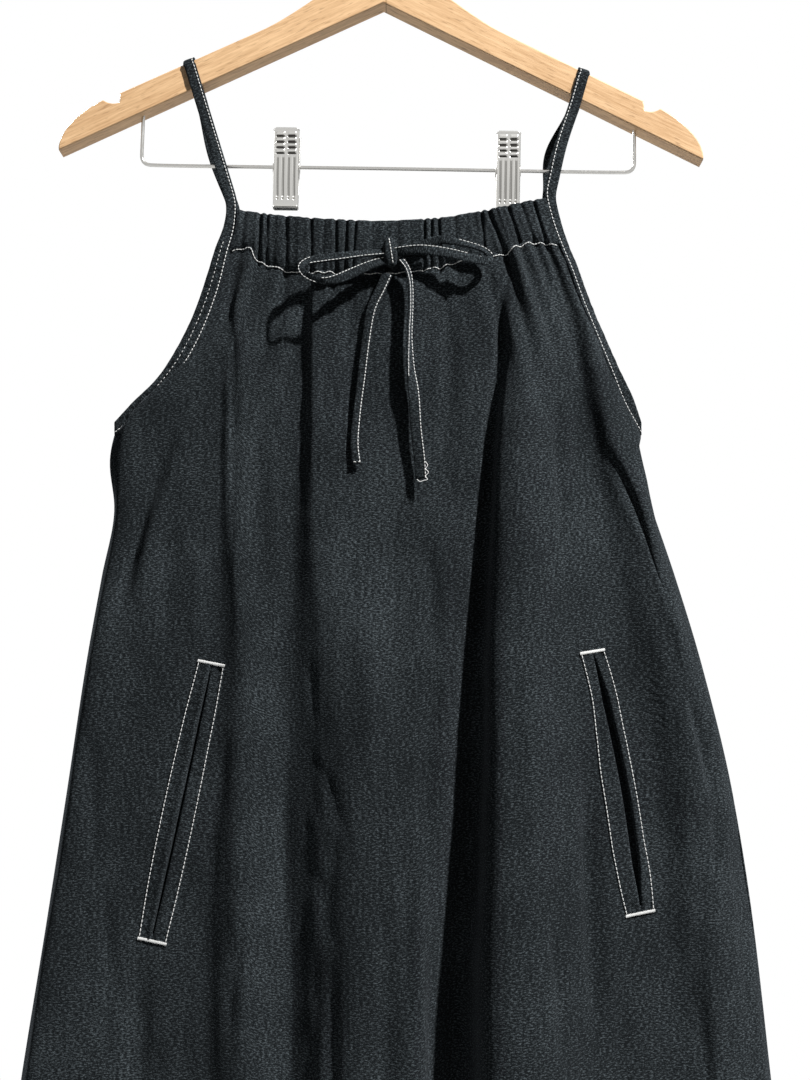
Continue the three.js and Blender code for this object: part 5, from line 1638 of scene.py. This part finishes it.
def spring_piece(name, middle_x, width):
    turns, radius, wire = 6, 3.0, 0.95
    angle = np.linspace(0, turns * math.tau, turns * 26 + 1)
    run = np.linspace(-width / 2 + 2.2, width / 2 - 2.2, len(angle))
    outward = np.stack([np.zeros_like(run), np.cos(angle), np.sin(angle)], axis=1)
    middle = outward * radius
    middle[:, 0] = run
    side = unit(np.cross(outward, np.gradient(middle, axis=0)))
    grid = section_points(middle, side, outward, wire, wire, 8, 2)
    return clip_surface(name, middle_x, *np.moveaxis(grid, -1, 0), nickel, caps=True)


def ear_piece(name, middle_x, width):
    """The two round hinge ears of a clip, one at each end of its spring."""
    bm = bmesh.new()
    for side in (-1, 1):
        place = Matrix.Translation(((middle_x + side * (width / 2 + 0.1)) * MM, 0, (BAR_Z - 0.5) * MM))
        spin = Matrix.Rotation(math.pi / 2, 4, "Y")
        made = bmesh.ops.create_cone(bm, segments=32, cap_ends=True, radius1=4.1 * MM, radius2=4.1 * MM,
                                     depth=0.8 * MM, matrix=place @ spin)
        rim = [e for e in bm.edges if e.verts[0] in made["verts"]]
        bmesh.ops.bevel(bm, geom=rim, offset=0.25 * MM, segments=2, profile=0.5, affect="EDGES",
                        material=-1)
    bmesh.ops.transform(bm, matrix=TILT, verts=bm.verts[:])
    return made_piece(name, bm, pressed_nickel)


pressed_nickel = nickel_finish("pressed_nickel", PLATE_ROUGH, PLATE_COLOUR)
clips = {}
for side, (middle_x, width) in CLIPS.items():
    plate = nickel_with_painted_shade(f"{side}_slotted_nickel", middle_x, width)
    for jaw, facing in (("front", -1), ("back", 1)):
        piece = jaw_piece(f"{side}_jaw_{jaw}", middle_x, width, facing, plate)
        clips[side, jaw] = wall(piece, PLATE * 0.7)
    clips[side, "spring"] = spring_piece(f"{side}_coil", middle_x, width)
    clips[side, "ears"] = ear_piece(f"{side}_ears", middle_x, width)
print("clip pieces", len(clips))

# %% [markdown]
# ## Light and floor
# A plain pale backdrop and floor, soft light from all round, and one stronger lamp high on the right
# that shapes the folds and throws the bow's small shadows. A broad lamp behind does the same for the
# back. The surroundings are dim for cloth and bright for reflections, as in a studio with white cards
# near the metal.

# %% Light and floor
world = bpy.data.worlds.new("studio")
bpy.context.scene.world = world
world.use_nodes = True
tree = world.node_tree
tree.nodes.clear()


def backdrop(colour, strength):
    node = tree.nodes.new("ShaderNodeBackground")
    node.inputs[0].default_value = colour
    node.inputs[1].default_value = strength
    return node.outputs[0]


def either(question, no, yes):
    mix = tree.nodes.new("ShaderNodeMixShader")
    for socket, source in zip(mix.inputs, (question, no, yes)):
        tree.links.new(source, socket)
    return mix.outputs[0]


asked = tree.nodes.new("ShaderNodeLightPath").outputs
soft = backdrop(rgb(0.88, 0.95, 1.0), 0.06)
cards = backdrop(rgb(1.0, 1.0, 1.0), 0.8)
white = backdrop(rgb(1.0, 1.0, 1.0), 1.0)
surroundings = either(asked["Is Camera Ray"], either(asked["Is Glossy Ray"], soft, cards), white)
tree.links.new(surroundings, tree.nodes.new("ShaderNodeOutputWorld").inputs[0])
bpy.context.scene.view_settings.view_transform = "Standard"

LAMP_AIM = Vector((0, 0, -0.6))
FLOOR_Z = -1.45
FLOOR_RADIUS = 1.1


def lamp(name, place, size, energy):
    """A round lamp aimed at the dress."""
    made = bpy.data.objects.new(name, bpy.data.lights.new(name, "AREA"))
    made.data.shape = "DISK"
    made.data.size = size
    made.data.energy = energy
    made.location = place
    made.rotation_euler = (Vector(place) - LAMP_AIM).to_track_quat("Z", "Y").to_euler()
    bpy.context.scene.collection.objects.link(made)
    return made


key = lamp("key", (1.75, -1.5, 2.2), 0.16, 285)
back_lamp = lamp("back_lamp", (-1.75, 2.4, 1.7), 0.9, 260)

bm = bmesh.new()
bmesh.ops.create_circle(bm, cap_ends=True, segments=96, radius=FLOOR_RADIUS,
                        matrix=Matrix.Translation((0, 0, FLOOR_Z)))
paint = Finish("pale_floor", Base_Color=rgb(0.5, 0.5, 0.495), Roughness=0.8)
floor = made_piece("floor", bm, paint.material)
print("lamps at", tuple(key.location), tuple(back_lamp.location))

# %% [markdown]
# ## Which piece stands for what
# Every piece rides on the one body and stands for the model's plain solid. The two panels' flat
# sizes are measured on the laid cloth.

# %% Frame
cloth_pieces = [front_panel, back_panel, knot, knot_row, *hems, *hem_rows, *casings, *casing_rows, *strips,
                *strip_rows, *lips.values(), *pocket_rows, *bags.values(), *bow_rows, *tail_rows,
                tail_left[0], tail_right[0], loop_left[0], loop_right[0]]
for slot, pieces in (("denim", cloth_pieces), ("wood", [arms]), ("steel", [hook, bar, *clips.values()])):
    for piece in pieces:
        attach(piece, "root")
    print(len(pieces), "pieces of", slot)

for piece, node in ((front_panel, "front_panel"), (back_panel, "back_panel"), (casings[0], "front_casing"),
                    (casings[1], "back_casing"), (knot, "bow_knot"), (loop_left[0], "bow_loop_left"),
                    (loop_right[0], "bow_loop_right"), (arms, "hanger_wood"), (hook, "hanger_hook"),
                    (bar, "hanger_bar")):
    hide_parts(node)
for side, strip in zip(("left", "right"), strips):
    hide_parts(f"armhole_band_front_{side}", f"strap_{side}", f"armhole_band_back_{side}")
    for edge in ("outer", "inner"):
        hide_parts(f"pocket_{side}_welt_{edge}")
    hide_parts(f"pocket_{side}_bag")
    for jaw in ("front", "back"):
        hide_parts(f"clip_{side}_{jaw}_jaw")
    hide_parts(f"clip_{side}_spring")

# %% Tails and panels
bow = [knot, knot_row, loop_left[0], loop_right[0], *bow_rows]
for (tail, middle, *_), stem, tied in ((tail_left, "tail_left", bow), (tail_right, "tail_right", [])):
    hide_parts(f"tie_{stem}")
    extras = [row for row in tail_rows if row.name.startswith(stem)] + tied
    tuple(middle[0] * MM)
    float(length_along(middle)[-1] * MM)
    [tuple(p) for p in middle[::3] * MM]

edgings = [list(pieces) for pieces in zip(casings, casing_rows, hems, hem_rows)]
edgings[0] += [*lips.values(), *pocket_rows]
for piece, points, others in zip((front_panel, back_panel), (front_points, back_points), edgings):
    widths, drop, area = laid_size(points)
    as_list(others)
    print(piece.name, "width", round(widths.max()), "length", round(drop), "mm, area", round(area, 3), "m2")
